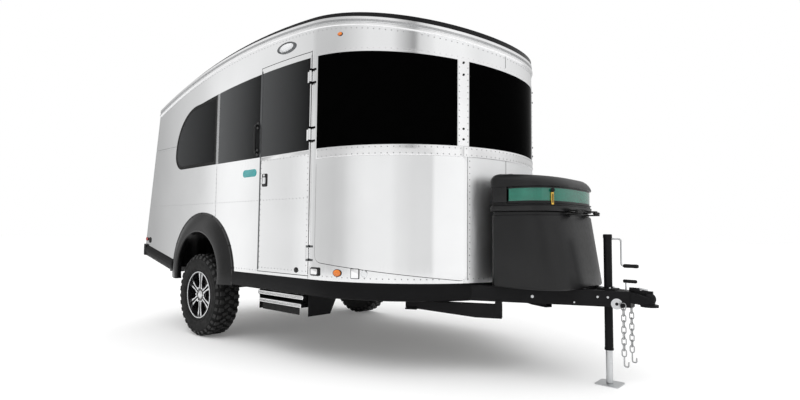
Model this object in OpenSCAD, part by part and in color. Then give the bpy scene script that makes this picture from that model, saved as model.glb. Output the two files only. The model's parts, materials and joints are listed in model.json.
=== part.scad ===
// Travel caravan: a riveted aluminium body with a half-round nose on a single-axle trailer frame.
// Millimetres. X runs forward to the coupler, Y to the street side, Z up from the ground.
// Stations named _x are measured forward from the axle.

/* [Body] */
// Width over the side walls
body_w = 2134; // [2000:2:2240]
// Thickness of walls, door and rear hatch
wall_t = 45; // [38:1:50]
// Lower edge of the walls ahead of the wheels
sill_z = 615; // [605:1:640]
// Station where the flat sides meet the half-round nose
nose_x = 1560; // [1540:1:1640]
// Station of the tail at the height of the sill
tail_x = -1250; // [-1400:1:-1200]
// Forward lean of the tail
tail_rake = 10; // [6:0.5:12]
// Station behind which the underside rises
rise_x = -310; // [-330:1:-300]
// Slope of the underside behind the wheels
rise_deg = 12; // [8:0.5:14]
// Station of the highest point of the roof line
roof_peak_x = 1000; // [800:1:1200]
// Height of the walls at the highest point
roof_peak_z = 2509; // [2450:1:2600]
// Radius of the roof line seen from the side
roof_r = 6340; // [5800:10:7000]
// Thickness of the roof edge at the tail
roof_tail_t = 18; // [15:1:30]
// Thickness of the roof edge at the nose
roof_nose_t = 60; // [45:1:80]
// Thickness of the floor
floor_t = 50; // [40:1:60]
// Height of the floor's underside ahead of the wheels
floor_z = 600; // [590:1:604]
// Height of the black belt moulding
belt_h = 120; // [90:1:125]
// How far the belt moulding stands out from the walls
belt_out = 18; // [12:1:25]
// How far the rear bumper stands out from the tail
bumper_out = 60; // [40:1:80]

/* [Windows] */
// Lower edge of the window band
window_z = 1550; // [1500:1:1600]
// Highest point of the window band
window_top_z = 2240; // [2200:1:2260]
// Station of the highest point of the window band
window_peak_x = 1200; // [1100:1:1300]
// Radius of the upper edge of the window band
window_r = 9500; // [8000:50:12000]
// Rear end of the window band
window_tail_x = -585; // [-620:1:-540]
// Height above the lower edge where the rear end is widest
window_round_z = 140; // [130:1:180]
// Station of the strip between the rear and the middle pane
divider_x = 228; // [200:1:280]
// Width of that strip
divider_w = 45; // [30:1:80]
// Thickness of the panes
glass_t = 6; // [4:0.5:8]
// Width of the flange that a pane is bonded to
flange_w = 40; // [30:1:50]
// Gap round a bonded pane
glass_gap = 0.3; // [0.2:0.1:0.6]
// Angle of the post beside the nose pane
post_deg = 28; // [24:0.5:32]
// Width of that post on the curve of the nose
post_w = 90; // [70:1:110]

/* [Door and hatch] */
// Width of the entry door
door_w = 640; // [600:1:680]
// Station of the hinged front edge of the door
door_front_x = 1550; // [1540:1:1556]
// Height of the door's lower edge
door_z = 640; // [630:1:670]
// Height of the door frame above the window
door_head = 42; // [30:1:60]
// Gap round doors and lids
leaf_gap = 5; // [5:0.5:7]
// Width of the rear hatch
hatch_w = 1440; // [1200:1:1600]
// Lower edge of the hatch, measured up the tail
hatch_low = 150; // [120:1:220]
// Height of the tail left above the hatch
hatch_head = 138; // [110:1:200]
// Radius of the hinge pins
pin_r = 5; // [4:0.5:6]
// Running clearance on hinge pins
pin_gap = 0.05; // [0.03:0.01:0.1]

/* [Wheels] */
// Radius of a tyre
tyre_r = 370; // [355:1:380]
// Width of a tyre
tyre_w = 235; // [215:1:245]
// Distance from the walls in to the middle of a tyre
wheel_inset = 85; // [78:1:92]
// Radius of the wheel at the tyre's bead
bead_r = 205; // [195:1:215]
// Pairs of spokes on a wheel
spoke_pairs = 6; // [5:1:8]
// Radius of the axle spindles
spindle_r = 22; // [18:1:25]
// Height of the wheel arches' centre
arch_z = 565; // [550:1:580]
// Radius of the flare's lip
flare_lip_r = 375; // [370:1:395]
// Radius of the flare where it meets the wall
flare_r = 555; // [530:1:580]
// How far the flares stand out from the walls
flare_out = 56; // [50:1:70]
// Radius inside the wheel housings
well_r = 402; // [398:1:420]

/* [Chassis] */
// Distance from the tongue jack to the coupler's front end
tongue_len = 300; // [280:1:360]
// Height of the frame rails
rail_h = 100; // [80:1:110]
// Width of the frame rails
rail_w = 50; // [40:1:60]
// Distance from the walls in to the middle of a main rail
rail_inset = 367; // [350:1:390]
// Angle between each drawbar rail and the centre line
drawbar_deg = 25; // [22:0.5:28]
// Size of the square axle beam
beam_w = 76; // [60:1:80]
// How far the axle beam lies ahead of the spindles
beam_x = 120; // [110:1:140]
// Radius of the coupler's ball socket
ball_r = 25.7; // [25.5:0.1:26]
// Distance from the tongue box to the middle of the jack
jack_gap = 106; // [90:1:130]
// Height of the tongue jack's head
jack_top_z = 956; // [920:1:1000]
// Radius of the tongue jack's outer tube
jack_r = 28; // [25:1:32]

/* [Tongue box] */
// Length of the box at its base
box_len = 528; // [480:1:530]
// Half of the box's width
box_half_w = 430; // [380:1:440]
// Height of the box's lower half
box_h = 495; // [460:1:520]
// How far the front leans back over the lower half
box_taper = 50; // [20:1:70]
// Height of the lid
lid_h = 226; // [200:1:250]
// Wall of the box and of its lid
box_wall = 6; // [4:0.5:8]
// Radius of the box's front corners
box_corner = 170; // [120:1:190]
// Radius of the box's rear corners
box_rear_corner = 40; // [25:1:60]

/* [Step and stabilisers] */
// Width of the entry step's frame
step_w = 620; // [580:1:640]
// Depth of a tread
tread_d = 200; // [180:1:220]
// Length of the folding arms between pins
arm_len = 130; // [120:1:135]
// Length of a stabiliser leg
leg_len = 640; // [600:1:680]
// Width of a stabiliser leg
leg_w = 60; // [50:1:70]
// Depth of a stabiliser leg at its pivot
leg_h = 90; // [80:1:100]
// Depth of a stabiliser leg at its foot
leg_tip_h = 45; // [40:1:60]

/* [Hidden] */
$fn = 96;

bright = "#d5d8da";
black = "#1d1e20";
steel_black = "#26282b";
tint = "#101114";
zinc = "#aeb4b8";
amber = "#e07a1c";
red = "#b81a1a";

half_w = body_w / 2;
inner_w = half_w - wall_t;
axle_z = tyre_r;
door_rear_x = door_front_x - door_w;
wheel_y = half_w - wheel_inset;
rail_y = half_w - rail_inset;
box_x = nose_x + half_w + 29;
box_front_x = box_x + box_len;
box_top_z = floor_z + box_h;
jack_x = box_front_x + jack_gap;
coupler_x = jack_x + tongue_len;
mid_x = (coupler_x + tail_corner()[0] - bumper_out) / 2;
far = 1.12 * coupler_x;
reach = 1.22 * half_w;
tall = 1.2 * roof_peak_z;
knuckle_r = pin_r + 5;

// Height of the sill's rising stretch and of the tail's lean at a given station or height
function rise(x) = max(0, rise_x - x) * tan(rise_deg);
function tail_at(z) = tail_x + (z - sill_z) * tan(tail_rake);
function inner_tail_at(z) = tail_at(z) + wall_t / cos(tail_rake);

// Lower rear corner of the body, where the tail meets the rising underside
function tail_corner() =
    let (up = (rise_x - tail_x) * tan(rise_deg) / (1 + tan(rise_deg) * tan(tail_rake)))
    [tail_x + up * tan(tail_rake), sill_z + up];

// Length of the tail up its lean, from its lower corner to the roof line
function tail_run() = let (z = roof_line(tail_at(roof_line(tail_x)))) (roof_line(tail_at(z)) - tail_corner()[1]) / cos(tail_rake);

function roof_line(x) = roof_peak_z - roof_r + sqrt(pow(roof_r, 2) - pow(x - roof_peak_x, 2));
function band_top(x) = window_top_z - window_r + sqrt(pow(window_r, 2) - pow(x - window_peak_x, 2));

function arc(centre, r, from, to, steps) =
    [for (i = [0:steps]) let (a = from + (to - from) * i / steps) centre + r * [cos(a), sin(a)]];

// Moves stations measured from the axle into the frame whose origin is mid-length
module placed() translate([-mid_x, 0, 0]) children();

// Extrudes a side view between two distances across the body
module across(y0, y1) translate([0, y1, 0]) rotate([90, 0, 0]) linear_extrude(y1 - y0) children();

module both_sides() {
    children();
    mirror([0, 1, 0]) children();
}

// Local frame on the tail: z runs up the lean, x runs inwards from the outer face
module on_tail() translate([tail_corner()[0], 0, tail_corner()[1]]) rotate([0, tail_rake, 0]) children();

// A stretch of ring round the nose's centre, seen from above
module nose_sector(r, t, z0, z1, from, to)
    translate([nose_x, 0, 0]) rotate_extrude(angle = to - from, start = from, $fn = 180)
        translate([r - t, z0]) square([t, z1 - z0]);

// Side view of everything under the roof
module under_roof(drop = 0)
    translate([roof_peak_x, roof_peak_z - roof_r]) circle(roof_r - drop, $fn = 2880);

module side_shape() intersection() {
    under_roof();
    polygon([[rise_x, sill_z], [nose_x, sill_z], [nose_x, tall], [tail_at(tall), tall], tail_corner()]);
}

// Side view of the window band, cut in by an inset
module band_shape(inset) intersection() {
    translate([window_peak_x, window_top_z - window_r]) circle(window_r - inset, $fn = 2880);
    translate([nose_x, window_z + inset]) square([reach, tall]);
}

function pane_points(x0, x1, inset) = concat(
    [[x0 + inset, window_z + inset], [x1 - inset, window_z + inset]],
    [for (i = [0:4]) let (x = x1 - inset - (x1 - x0 - 2 * inset) * i / 4) [x, band_top(x) - inset]]);

// Distance from the window band's rear end at which its upper round begins
tail_round = 450;

// The rear pane ends in a large upper round and a smaller lower one
function tail_pane_points(x1, inset) =
    let (zc = window_z + window_round_z,
        r = (band_top(window_tail_x + tail_round) - zc),
        upper = [window_tail_x + r, zc],
        lower = [window_tail_x + window_round_z, zc])
    concat([[x1 - inset, window_z + inset]],
        [for (i = [0:4]) let (x = x1 - inset - (x1 - inset - upper[0] - 20) * i / 4) [x, band_top(x) - inset]],
        arc(upper, r - inset, 90, 180, 14),
        arc(lower, window_round_z - inset, 180, 270, 8));

divider_ends = [divider_x - divider_w / 2, divider_x + divider_w / 2];
mid_pane_x1 = door_rear_x - leaf_gap - 8;
front_pane = [mid_pane_x1 + 22, nose_x - 20];
door_pane = [door_rear_x + 12, door_front_x - 14];

// Panes of one side wall; the street side also has one where the curb side has its door
module side_panes(inset, with_front) {
    polygon(tail_pane_points(divider_ends[0], inset));
    polygon(pane_points(divider_ends[1], mid_pane_x1, inset));
    if (with_front) polygon(pane_points(front_pane[0], front_pane[1], inset));
}

module door_shape(grow) intersection() {
    translate([window_peak_x, window_top_z - window_r]) circle(window_r + door_head + grow, $fn = 2880);
    translate([door_rear_x - grow, door_z - grow]) square([door_w + 2 * grow, tall]);
}

well_t = 12;
well_depth = half_w - wheel_y + tyre_w / 2 + 22;

module arch_hole(grow) translate([0, arch_z]) circle(well_r + well_t + grow);

module wall_cuts(with_front) {
    side_panes(flange_w, with_front);
    arch_hole(glass_gap);
}

module curb_wall() placed() color(bright) difference() {
    across(-half_w, -inner_w) difference() {
        side_shape();
        wall_cuts(false);
        door_shape(leaf_gap);
    }
    across(-half_w - 1, -half_w + glass_t + glass_gap) side_panes(0, false);
}

module street_wall() placed() color(bright) difference() {
    across(inner_w, half_w) difference() {
        side_shape();
        wall_cuts(true);
    }
    across(half_w - glass_t - glass_gap, half_w + 1) side_panes(0, true);
}

post_half = post_w / 2 / half_w * 180 / PI;
side_pane_end = 87;
nose_panes = [[-side_pane_end, -post_deg - post_half], [-post_deg + post_half, post_deg - post_half],
    [post_deg + post_half, side_pane_end]];
flange_deg = flange_w / half_w * 180 / PI;
gap_deg = glass_gap / half_w * 180 / PI;

module nose_wall() placed() color(bright) difference() {
    intersection() {
        nose_sector(half_w, wall_t, sill_z, tall, -90, 90);
        across(-reach, reach) under_roof();
    }
    for (pane = nose_panes) {
        intersection() {
            nose_sector(half_w + 1, wall_t + 2, sill_z, tall, pane[0] + flange_deg, pane[1] - flange_deg);
            across(-reach, reach) band_shape(flange_w);
        }
        intersection() {
            nose_sector(half_w + 1, glass_t + 1 + glass_gap, sill_z, tall, pane[0], pane[1]);
            across(-reach, reach) band_shape(0);
        }
    }
}

module nose_glass() placed() color(tint) for (pane = nose_panes) intersection() {
    nose_sector(half_w, glass_t, sill_z, tall, pane[0] + gap_deg, pane[1] - gap_deg);
    across(-reach, reach) band_shape(glass_gap);
}

module side_glass() placed() color(tint) {
    across(-half_w, -half_w + glass_t) side_panes(glass_gap, false);
    across(half_w - glass_t, half_w) side_panes(glass_gap, true);
}

hatch_top = tail_run() - hatch_head;
hatch_h = hatch_top - hatch_low;
tail_len = 1800;
hatch_pane_low = 620;
hatch_pane_edge = 80;

module tail_opening(grow, depth) translate([-1, -hatch_w / 2 - grow, hatch_low - grow])
    cube([depth, hatch_w + 2 * grow, hatch_h + 2 * grow]);

module rear_wall() placed() color(bright) difference() {
    intersection() {
        on_tail() translate([-wall_t, -inner_w, -wall_t]) cube([2 * wall_t, 2 * inner_w, tail_len]);
        across(-reach, reach) side_shape();
    }
    on_tail() tail_opening(leaf_gap, wall_t + 2);
}

module hatch_pane(inset, depth) translate([0, -hatch_w / 2 + hatch_pane_edge + inset, hatch_pane_low + inset])
    cube([depth, hatch_w - 2 * (hatch_pane_edge + inset), hatch_top - hatch_pane_edge - hatch_pane_low - 2 * inset]);

// Hinge axis of the hatch in the tail's local frame
hatch_axis = [-knuckle_r - 3, hatch_top + leaf_gap / 2];
hinge_len = 80;
lug_len = 15;
hatch_hinge_y = [-hatch_w / 4, hatch_w / 4];

module hatch() placed() on_tail() color(bright) {
    difference() {
        translate([0, -hatch_w / 2, hatch_low]) cube([wall_t, hatch_w, hatch_h]);
        translate([-1, 0, 0]) hatch_pane(0, glass_t + glass_gap + 1);
        translate([-1, 0, 0]) hatch_pane(flange_w, wall_t + 2);
    }
    for (y = hatch_hinge_y) translate([hatch_axis[0], y, hatch_axis[1]]) rotate([90, 0, 0]) knuckle([-1, 0]);
}

module hatch_glass() placed() on_tail() color(tint) hatch_pane(glass_gap, glass_t);

module hatch_hinges() placed() on_tail() color(zinc)
    for (y = hatch_hinge_y) translate([hatch_axis[0], y, hatch_axis[1]]) rotate([90, 0, 0]) pin_with_lugs([1, 0]);

// Hinge pieces along local z; toward gives the side (in y) on which the plate lies, seat is its distance in x
hinge_seat = knuckle_r + 3;
plate_t = 3;
plate_w = 45;

module knuckle(toward) difference() {
    union() {
        cylinder(r = knuckle_r, h = hinge_len, center = true);
        translate([0, toward[0] > 0 ? 0 : -plate_w, -hinge_len / 2]) cube([hinge_seat, plate_w, hinge_len]);
    }
    cylinder(r = pin_r + pin_gap, h = hinge_len + 2, center = true);
    translate([-knuckle_r, toward[0] > 0 ? knuckle_r + 2 : -plate_w - 1, -hinge_len])
        cube([hinge_seat + knuckle_r - plate_t, plate_w - knuckle_r - 1, 2 * hinge_len]);
}

module pin_with_lugs(toward) {
    cylinder(r = pin_r, h = hinge_len + 2 * (lug_len + 1), center = true);
    for (s = [-1, 1]) translate([0, 0, s * (hinge_len / 2 + 1 + lug_len / 2)]) difference() {
        union() {
            cylinder(r = knuckle_r, h = lug_len, center = true);
            translate([0, toward[0] > 0 ? 0 : -plate_w, -lug_len / 2]) cube([hinge_seat, plate_w, lug_len]);
        }
        translate([-knuckle_r, toward[0] > 0 ? knuckle_r + 2 : -plate_w - 1, -lug_len])
            cube([hinge_seat + knuckle_r - plate_t, plate_w - knuckle_r - 1, 2 * lug_len]);
    }
}

// The roof's upper face is an arc of the same radius, shifted forward so that its edge thickens to the nose
roof_span = half_w + nose_x - tail_corner()[0];
roof_shift = (roof_nose_t - roof_tail_t) / roof_span * roof_r;
roof_lift = roof_tail_t + (roof_peak_x + roof_shift / 2 - tail_at(roof_line(tail_x))) * roof_shift / roof_r;

module roof() placed() color(black) difference() {
    intersection() {
        union() {
            translate([tail_x, -half_w, sill_z]) cube([nose_x - tail_x, body_w, tall]);
            translate([nose_x, 0, sill_z]) cylinder(r = half_w, h = tall, $fn = 180);
        }
        across(-reach, reach) difference() {
            intersection() {
                translate([roof_peak_x + roof_shift, roof_peak_z - roof_r + roof_lift]) circle(roof_r, $fn = 2880);
                polygon([[tail_at(sill_z), sill_z], [far, sill_z], [far, tall], [tail_at(tall), tall]]);
            }
            under_roof();
        }
    }
    translate([vent_x - vent_w / 2, -vent_w / 2, sill_z]) cube([vent_w, vent_w, tall]);
}

module floor_strip() polygon([[rise_x, floor_z], [far, floor_z], [far, floor_z + floor_t], [rise_x, floor_z + floor_t],
    [tail_x, floor_z + floor_t + rise(tail_x)], [tail_x, floor_z + rise(tail_x)]]);

// Room between the floor's rear end and the tail
tail_gap = 4;

module floor() placed() color("#8d8a84") difference() {
    intersection() {
        union() {
            translate([tail_x, -inner_w, 0]) cube([nose_x - tail_x, 2 * inner_w, tall]);
            translate([nose_x, 0, 0]) cylinder(r = inner_w, h = tall, $fn = 180);
        }
        across(-reach, reach) intersection() {
            floor_strip();
            polygon([[inner_tail_at(0) + tail_gap, 0], [far, 0], [far, tall], [inner_tail_at(tall) + tail_gap, tall]]);
        }
    }
    both_sides() across(-half_w, -half_w + well_depth + well_t + glass_gap) arch_hole(glass_gap);
}

// Housing over one wheel, open below and to the outside
module wheel_wells() placed() color(steel_black) both_sides() intersection() {
    difference() {
        across(-half_w, -half_w + well_depth + well_t) arch_hole(0);
        across(-half_w - 1, -half_w + well_depth) translate([0, arch_z]) circle(well_r);
    }
    translate([-reach, -reach, floor_z]) cube(2 * reach);
}

// Section of a flare: radius from the arch's centre, then distance out from the wall
flare_section = [[flare_lip_r, 6], [flare_lip_r, flare_out - 8], [flare_lip_r + 8, flare_out],
    [flare_lip_r + 45, flare_out], [flare_lip_r + 95, flare_out - 8], [flare_lip_r + 140, flare_out - 28],
    [flare_r - 16, 16], [flare_r - 14, 12], [flare_r, 10], [flare_r, 0], [well_r - 8, 0]];

module flares() placed() color(black) both_sides() intersection() {
    translate([0, -half_w, arch_z]) rotate([90, 0, 0]) rotate_extrude($fn = 128) polygon(flare_section);
    translate([-reach, -reach, sill_z - belt_h]) cube(2 * reach);
}

// Section of the belt moulding: distance out from the wall, then height above its lower edge
function belt_section(out, drop = 0) = [[-wall_t, 0], [-16, 0], [out * 0.35, 10], [out * 0.8, 28], [out, 58],
    [out * 0.95, 86], [out * 0.55, belt_h - 10], [0, belt_h - glass_gap], [-wall_t, belt_h - glass_gap - drop]];
belt_front_x = flare_r + 1;

// Slot through the belt for one drawbar rail, seen from above
module drawbar_slot() polygon([for (x = [nose_x, box_x]) each [[x, -drawbar_y(x, -1) + slot_gap], [x, -drawbar_y(x, 1) - slot_gap]]],
    [[0, 1, 3, 2]]);
slot_gap = 4;

module belt_front() placed() color(black) {
    difference() {
        translate([nose_x, 0, sill_z - belt_h]) rotate_extrude(angle = 180, start = -90, $fn = 180)
            translate([half_w, 0]) polygon(belt_section(belt_out));
        both_sides() translate([0, 0, rail_z - rail_h]) linear_extrude(2 * rail_h + 1) drawbar_slot();
    }
    both_sides() translate([nose_x, -half_w, sill_z - belt_h]) rotate([90, 0, -90])
        linear_extrude(nose_x - belt_front_x) polygon(belt_section(belt_out));
}

rear_run = (-belt_front_x - tail_corner()[0]) / cos(rise_deg);

module belt_rear() placed() color(black) intersection() {
    union() {
        both_sides() translate([-belt_front_x, -half_w, sill_z + rise(-belt_front_x)]) rotate([0, rise_deg, 0])
            translate([60, 0, -belt_h]) rotate([90, 0, -90])
                linear_extrude(rear_run + 60) polygon(belt_section(belt_out));
        translate([tail_corner()[0], -half_w - belt_out, tail_corner()[1] - belt_h]) rotate([90, 0, 180])
            linear_extrude(body_w + 2 * belt_out) polygon(belt_section(bumper_out, wall_t * tan(rise_deg)));
    }
    translate([-far - belt_front_x, -reach, 0]) cube([far, 2 * reach, tall]);
    rounded_tail(half_w + belt_out, tail_corner()[0] - bumper_out, 70);
}

// Plan with rounded rear corners, extruded through the whole height
module rounded_tail(half, x, r) {
    translate([x + r, -half, 0]) cube([far, 2 * half, tall]);
    translate([x, -half + r, 0]) cube([far, 2 * (half - r), tall]);
    both_sides() translate([x + r, -half + r, 0]) cylinder(r = r, h = tall);
}

// Hinge axis of the door, just outside the wall at the joint with the nose
door_axis = [door_front_x + leaf_gap / 2, -half_w - hinge_seat];
door_hinge_z = [door_z + 160, window_z + 110, window_top_z - 150];

module door() placed() color(bright) {
    difference() {
        across(-half_w, -inner_w) door_shape(0);
        across(-half_w - 1, -half_w + glass_t + glass_gap) polygon(pane_points(door_pane[0], door_pane[1], 0));
        across(-reach, 0) polygon(pane_points(door_pane[0], door_pane[1], flange_w));
    }
    for (z = door_hinge_z) translate([door_axis[0], door_axis[1], z]) rotate([0, 0, 90]) knuckle([1, 0]);
}

module door_glass() placed() color(tint)
    across(-half_w, -half_w + glass_t) polygon(pane_points(door_pane[0], door_pane[1], glass_gap));

module door_hinges() placed() color(zinc)
    for (z = door_hinge_z) translate([door_axis[0], door_axis[1], z]) rotate([0, 0, 90]) pin_with_lugs([-1, 0]);

latch_x = door_rear_x + 72;
latch_z = 1360;
latch_size = [62, 14, 105];

module door_latch() placed() color(black) translate([latch_x, -half_w, latch_z]) difference() {
    translate([-latch_size[0] / 2, -latch_size[1], -latch_size[2] / 2]) cube(latch_size);
    translate([-18, -latch_size[1] - 1, -34]) cube([36, 9, 50]);
}

grab_x = door_rear_x - leaf_gap - 32;
grab_z = [1580, 1825];
grab_out = 42;
grab_r = 11;

module grab_handle() placed() color(black) translate([grab_x, -half_w - grab_out + grab_r, 0]) {
    translate([0, 0, grab_z[0]]) cylinder(r = grab_r, h = grab_z[1] - grab_z[0]);
    for (z = [grab_z[0] + grab_r, grab_z[1] - grab_r]) translate([0, 0, z]) rotate([-90, 0, 0])
        cylinder(r = grab_r - 2, h = grab_out - grab_r);
}

// An oval in side view from two arcs
function oval_points(w, h, n) = [for (i = [0:n - 1]) [w / 2 * cos(360 * i / n), h / 2 * sin(360 * i / n)]];

porch_x = door_rear_x + door_w / 2 + 5;
porch_z = window_top_z + 138;

module porch_light() placed() color("#e9ecee") translate([porch_x, -half_w, porch_z]) rotate([90, 0, 0]) {
    linear_extrude(14) difference() {
        polygon(oval_points(230, 84, 40));
        polygon(oval_points(196, 58, 40));
    }
    linear_extrude(20) polygon(oval_points(195.4, 57.4, 40));
}

// Lamps on the nose: angle from straight ahead, height, radius
marker_table = [[-76, 2352, 14], [76, 2352, 14], [-75.5, 672, 26], [75.5, 672, 26]];

module marker_lamps() placed() color(amber) for (lamp = marker_table)
    translate([nose_x, 0, lamp[1]]) rotate([0, 0, lamp[0]]) difference() {
        translate([half_w - 4, 0, 0]) rotate([0, 90, 0]) cylinder(r = lamp[2], h = 18);
        translate([0, 0, -50]) cylinder(r = half_w + glass_gap, h = 100, $fn = 180);
    }

tail_lamp = [16, 70, 260];

module tail_lamps() placed() on_tail() color(red) both_sides()
    translate([-tail_lamp[0], -half_w + wall_t + 30, 60]) cube(tail_lamp);

// Roof fittings
vent_x = 250;
vent_w = 360;
vent_rim = 40;
vent_h = 45;
vent_lid_h = 32;
vent_pin_out = knuckle_r + 6;
vent_pin_up = 12;
vent_axis = [vent_x + vent_w / 2 + vent_rim + vent_pin_out, vent_base() + vent_h + vent_pin_up];

function roof_top(x) = roof_peak_z + roof_lift - roof_r + sqrt(pow(roof_r, 2) - pow(x - roof_peak_x - roof_shift, 2));
function vent_base() = roof_top(vent_x + vent_w / 2 + vent_rim);

module over_roof() across(-reach, reach) difference() {
    translate([-far, 0]) square([2 * far, tall]);
    translate([roof_peak_x + roof_shift, roof_peak_z - roof_r + roof_lift]) circle(roof_r, $fn = 2880);
}

module vent_frame() placed() color(black) {
    difference() {
        intersection() {
            translate([vent_x - vent_w / 2 - vent_rim, -vent_w / 2 - vent_rim, 0])
                cube([vent_w + 2 * vent_rim, vent_w + 2 * vent_rim, vent_base() + vent_h]);
            over_roof();
        }
        translate([vent_x - vent_w / 2, -vent_w / 2, 0]) cube([vent_w, vent_w, tall]);
    }
    for (y = vent_hinge_y) translate([vent_axis[0], y, vent_axis[1]]) rotate([90, 0, 0]) {
        cylinder(r = pin_r, h = hinge_len, center = true);
        for (s = [-1, 1]) translate([0, 0, s * (hinge_len - lug_len) / 2 - lug_len / 2]) {
            cylinder(r = knuckle_r, h = lug_len);
            translate([-knuckle_r, -vent_pin_up - vent_h / 2, 0]) cube([2 * knuckle_r, vent_pin_up + vent_h / 2, lug_len]);
            translate([-vent_pin_out - 4, -vent_pin_up - vent_h / 2, 0]) cube([vent_pin_out, vent_h / 2 - 1, lug_len]);
        }
    }
}

vent_hinge_y = [-110, 110];
vent_knuckle = hinge_len - 2 * lug_len - 2;

module vent_lid() placed() color("#3a3c40") {
    difference() {
        translate([vent_x - vent_w / 2 - vent_rim, -vent_w / 2 - vent_rim, vent_base() + vent_h + leaf_gap])
            cube([vent_w + 2 * vent_rim - 1, vent_w + 2 * vent_rim, vent_lid_h]);
        translate([vent_x - vent_w / 2, -vent_w / 2, vent_base() + vent_h]) cube([vent_w, vent_w, vent_lid_h]);
    }
    for (y = vent_hinge_y) translate([vent_axis[0], y, vent_axis[1]]) rotate([90, 0, 0]) difference() {
        union() {
            cylinder(r = knuckle_r, h = vent_knuckle, center = true);
            translate([-vent_pin_out - 4, 0, -vent_knuckle / 2]) cube([vent_pin_out + 4, knuckle_r, vent_knuckle]);
        }
        cylinder(r = pin_r + pin_gap, h = vent_knuckle + 2, center = true);
    }
}

cooler_x = 1050;
cooler = [860, 660, 215];
louvre_pitch = 40;

module air_conditioner() placed() color("#2b2d30") difference() {
    intersection() {
        translate([cooler_x - cooler[0] / 2, -cooler[1] / 2, 0]) cube([cooler[0], cooler[1], roof_top(cooler_x) + cooler[2]]);
        over_roof();
    }
    translate([cooler_x + cooler[0] / 2, -cooler[1], roof_top(cooler_x) + cooler[2]]) rotate([0, 40, 0])
        translate([-reach, 0, 0]) cube([2 * reach, 2 * cooler[1], cooler[2]]);
    for (i = [-5:5]) translate([cooler_x - cooler[0] / 2 - 1, i * louvre_pitch - 10, roof_top(cooler_x) + 60])
        cube([25, 20, 110]);
}

// Frame: drawbar rails, main rails that follow the floor, cross members
drawbar_tip_x = coupler_x - 190;
frame_head_x = drawbar_tip_x + 40;
head_y = rail_w * 0.62;
head_t = 10;
head_drop = 2;
rail_z = floor_z - rail_h;
rail_out = rail_y + rail_w / 2;
rail_in = rail_y - rail_w / 2;
cross_x = [main_front_x() - 180, 420];
rear_cross_x = -1120;

// Distance out of a drawbar rail at a station, and the station at a distance out; edge is 1 outside, -1 inside
function drawbar_y(x, edge) = head_y + (drawbar_tip_x - x) * tan(drawbar_deg) + edge * rail_w / 2 / cos(drawbar_deg);
function drawbar_x(y, edge) = drawbar_tip_x - (y - head_y - edge * rail_w / 2 / cos(drawbar_deg)) / tan(drawbar_deg);
function main_front_x() = drawbar_x(rail_y, 0);

// Frame ahead of the rising tail, seen from above
module frame_plan() difference() {
    polygon([[frame_head_x, -drawbar_y(frame_head_x, 1)], [drawbar_x(rail_out, 1), -rail_out], [rise_x, -rail_out],
        [rise_x, rail_out], [drawbar_x(rail_out, 1), rail_out], [frame_head_x, drawbar_y(frame_head_x, 1)]]);
    polygon([[drawbar_x(0, -1), 0], [drawbar_x(rail_in, -1), -rail_in], [cross_x[0] + rail_w / 2, -rail_in],
        [cross_x[0] + rail_w / 2, rail_in], [drawbar_x(rail_in, -1), rail_in]]);
    translate([cross_x[1] + rail_w / 2, -rail_in]) square([cross_x[0] - cross_x[1] - rail_w, 2 * rail_in]);
    translate([rise_x + rail_w, -rail_in]) square([cross_x[1] - rise_x - rail_w * 1.5, 2 * rail_in]);
}

// Gusset between the drawbar rails, which carries the jack
module head_plate() difference() {
    polygon([[jack_x - 70, -drawbar_y(jack_x - 70, 0)], [frame_head_x - 5, -drawbar_y(frame_head_x - 5, 0)],
        [frame_head_x - 5, drawbar_y(frame_head_x - 5, 0)], [jack_x - 70, drawbar_y(jack_x - 70, 0)]]);
    translate([jack_x, 0]) circle(jack_r + glass_gap);
}

module chassis() placed() color(steel_black) {
    translate([0, 0, rail_z]) linear_extrude(rail_h) frame_plan();
    translate([0, 0, floor_z - head_drop - head_t]) linear_extrude(head_t) head_plate();
    both_sides() across(-rail_out, -rail_in)
        polygon([[rear_cross_x - 30, rail_z + rise(rear_cross_x - 30)], [rise_x, rail_z], [rise_x, floor_z - glass_gap],
            [rear_cross_x - 30, floor_z - glass_gap + rise(rear_cross_x - 30)]]);
    translate([rear_cross_x - 40, -leg_rear_y - 60, leg_rear_z]) cube([80, 2 * (leg_rear_y + 60), 76]);
    both_sides() translate([chain_x, -chain_y + 34, chain_pin_z]) rotate([90, 0, 0]) {
        cylinder(r = chain_pin_r, h = 50);
        translate([0, 0, 46]) cylinder(r = 14, h = 6);
    }
    for (leg = leg_table) leg_place(leg) leg_bracket(leg[4]);
}

arm_y = [rail_y + 90, rail_y + 130];
backing_y = wheel_y - 79;

module axle() placed() color(steel_black) {
    translate([beam_x - beam_w / 2, -arm_y[0], rail_z - beam_w]) cube([beam_w, 2 * arm_y[0], beam_w]);
    both_sides() {
        across(-arm_y[1], -arm_y[0]) {
            translate([beam_x, rail_z - beam_w / 2]) circle(46);
            translate([0, axle_z]) circle(38);
            polygon([[-22, axle_z + 10], [18, axle_z - 26], [beam_x + 24, rail_z - beam_w + 4], [beam_x - 20, rail_z - 6]]);
        }
        translate([0, -arm_y[1] + 1, axle_z]) rotate([90, 0, 0]) {
            cylinder(r = spindle_r + 10, h = backing_y - arm_y[1] + 1);
            cylinder(r = spindle_r, h = wheel_y - arm_y[1] + 26);
        }
        translate([0, -backing_y + 4, axle_z]) rotate([90, 0, 0]) cylinder(r = 156, h = 4);
    }
}

// Wheels are drawn with their axis along z, outer face up, then turned into place
module on_wheel() translate([0, -wheel_y, axle_z]) rotate([90, 0, 0]) children();

half_tyre = tyre_w / 2;
flange_z = half_tyre - 22;

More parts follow.
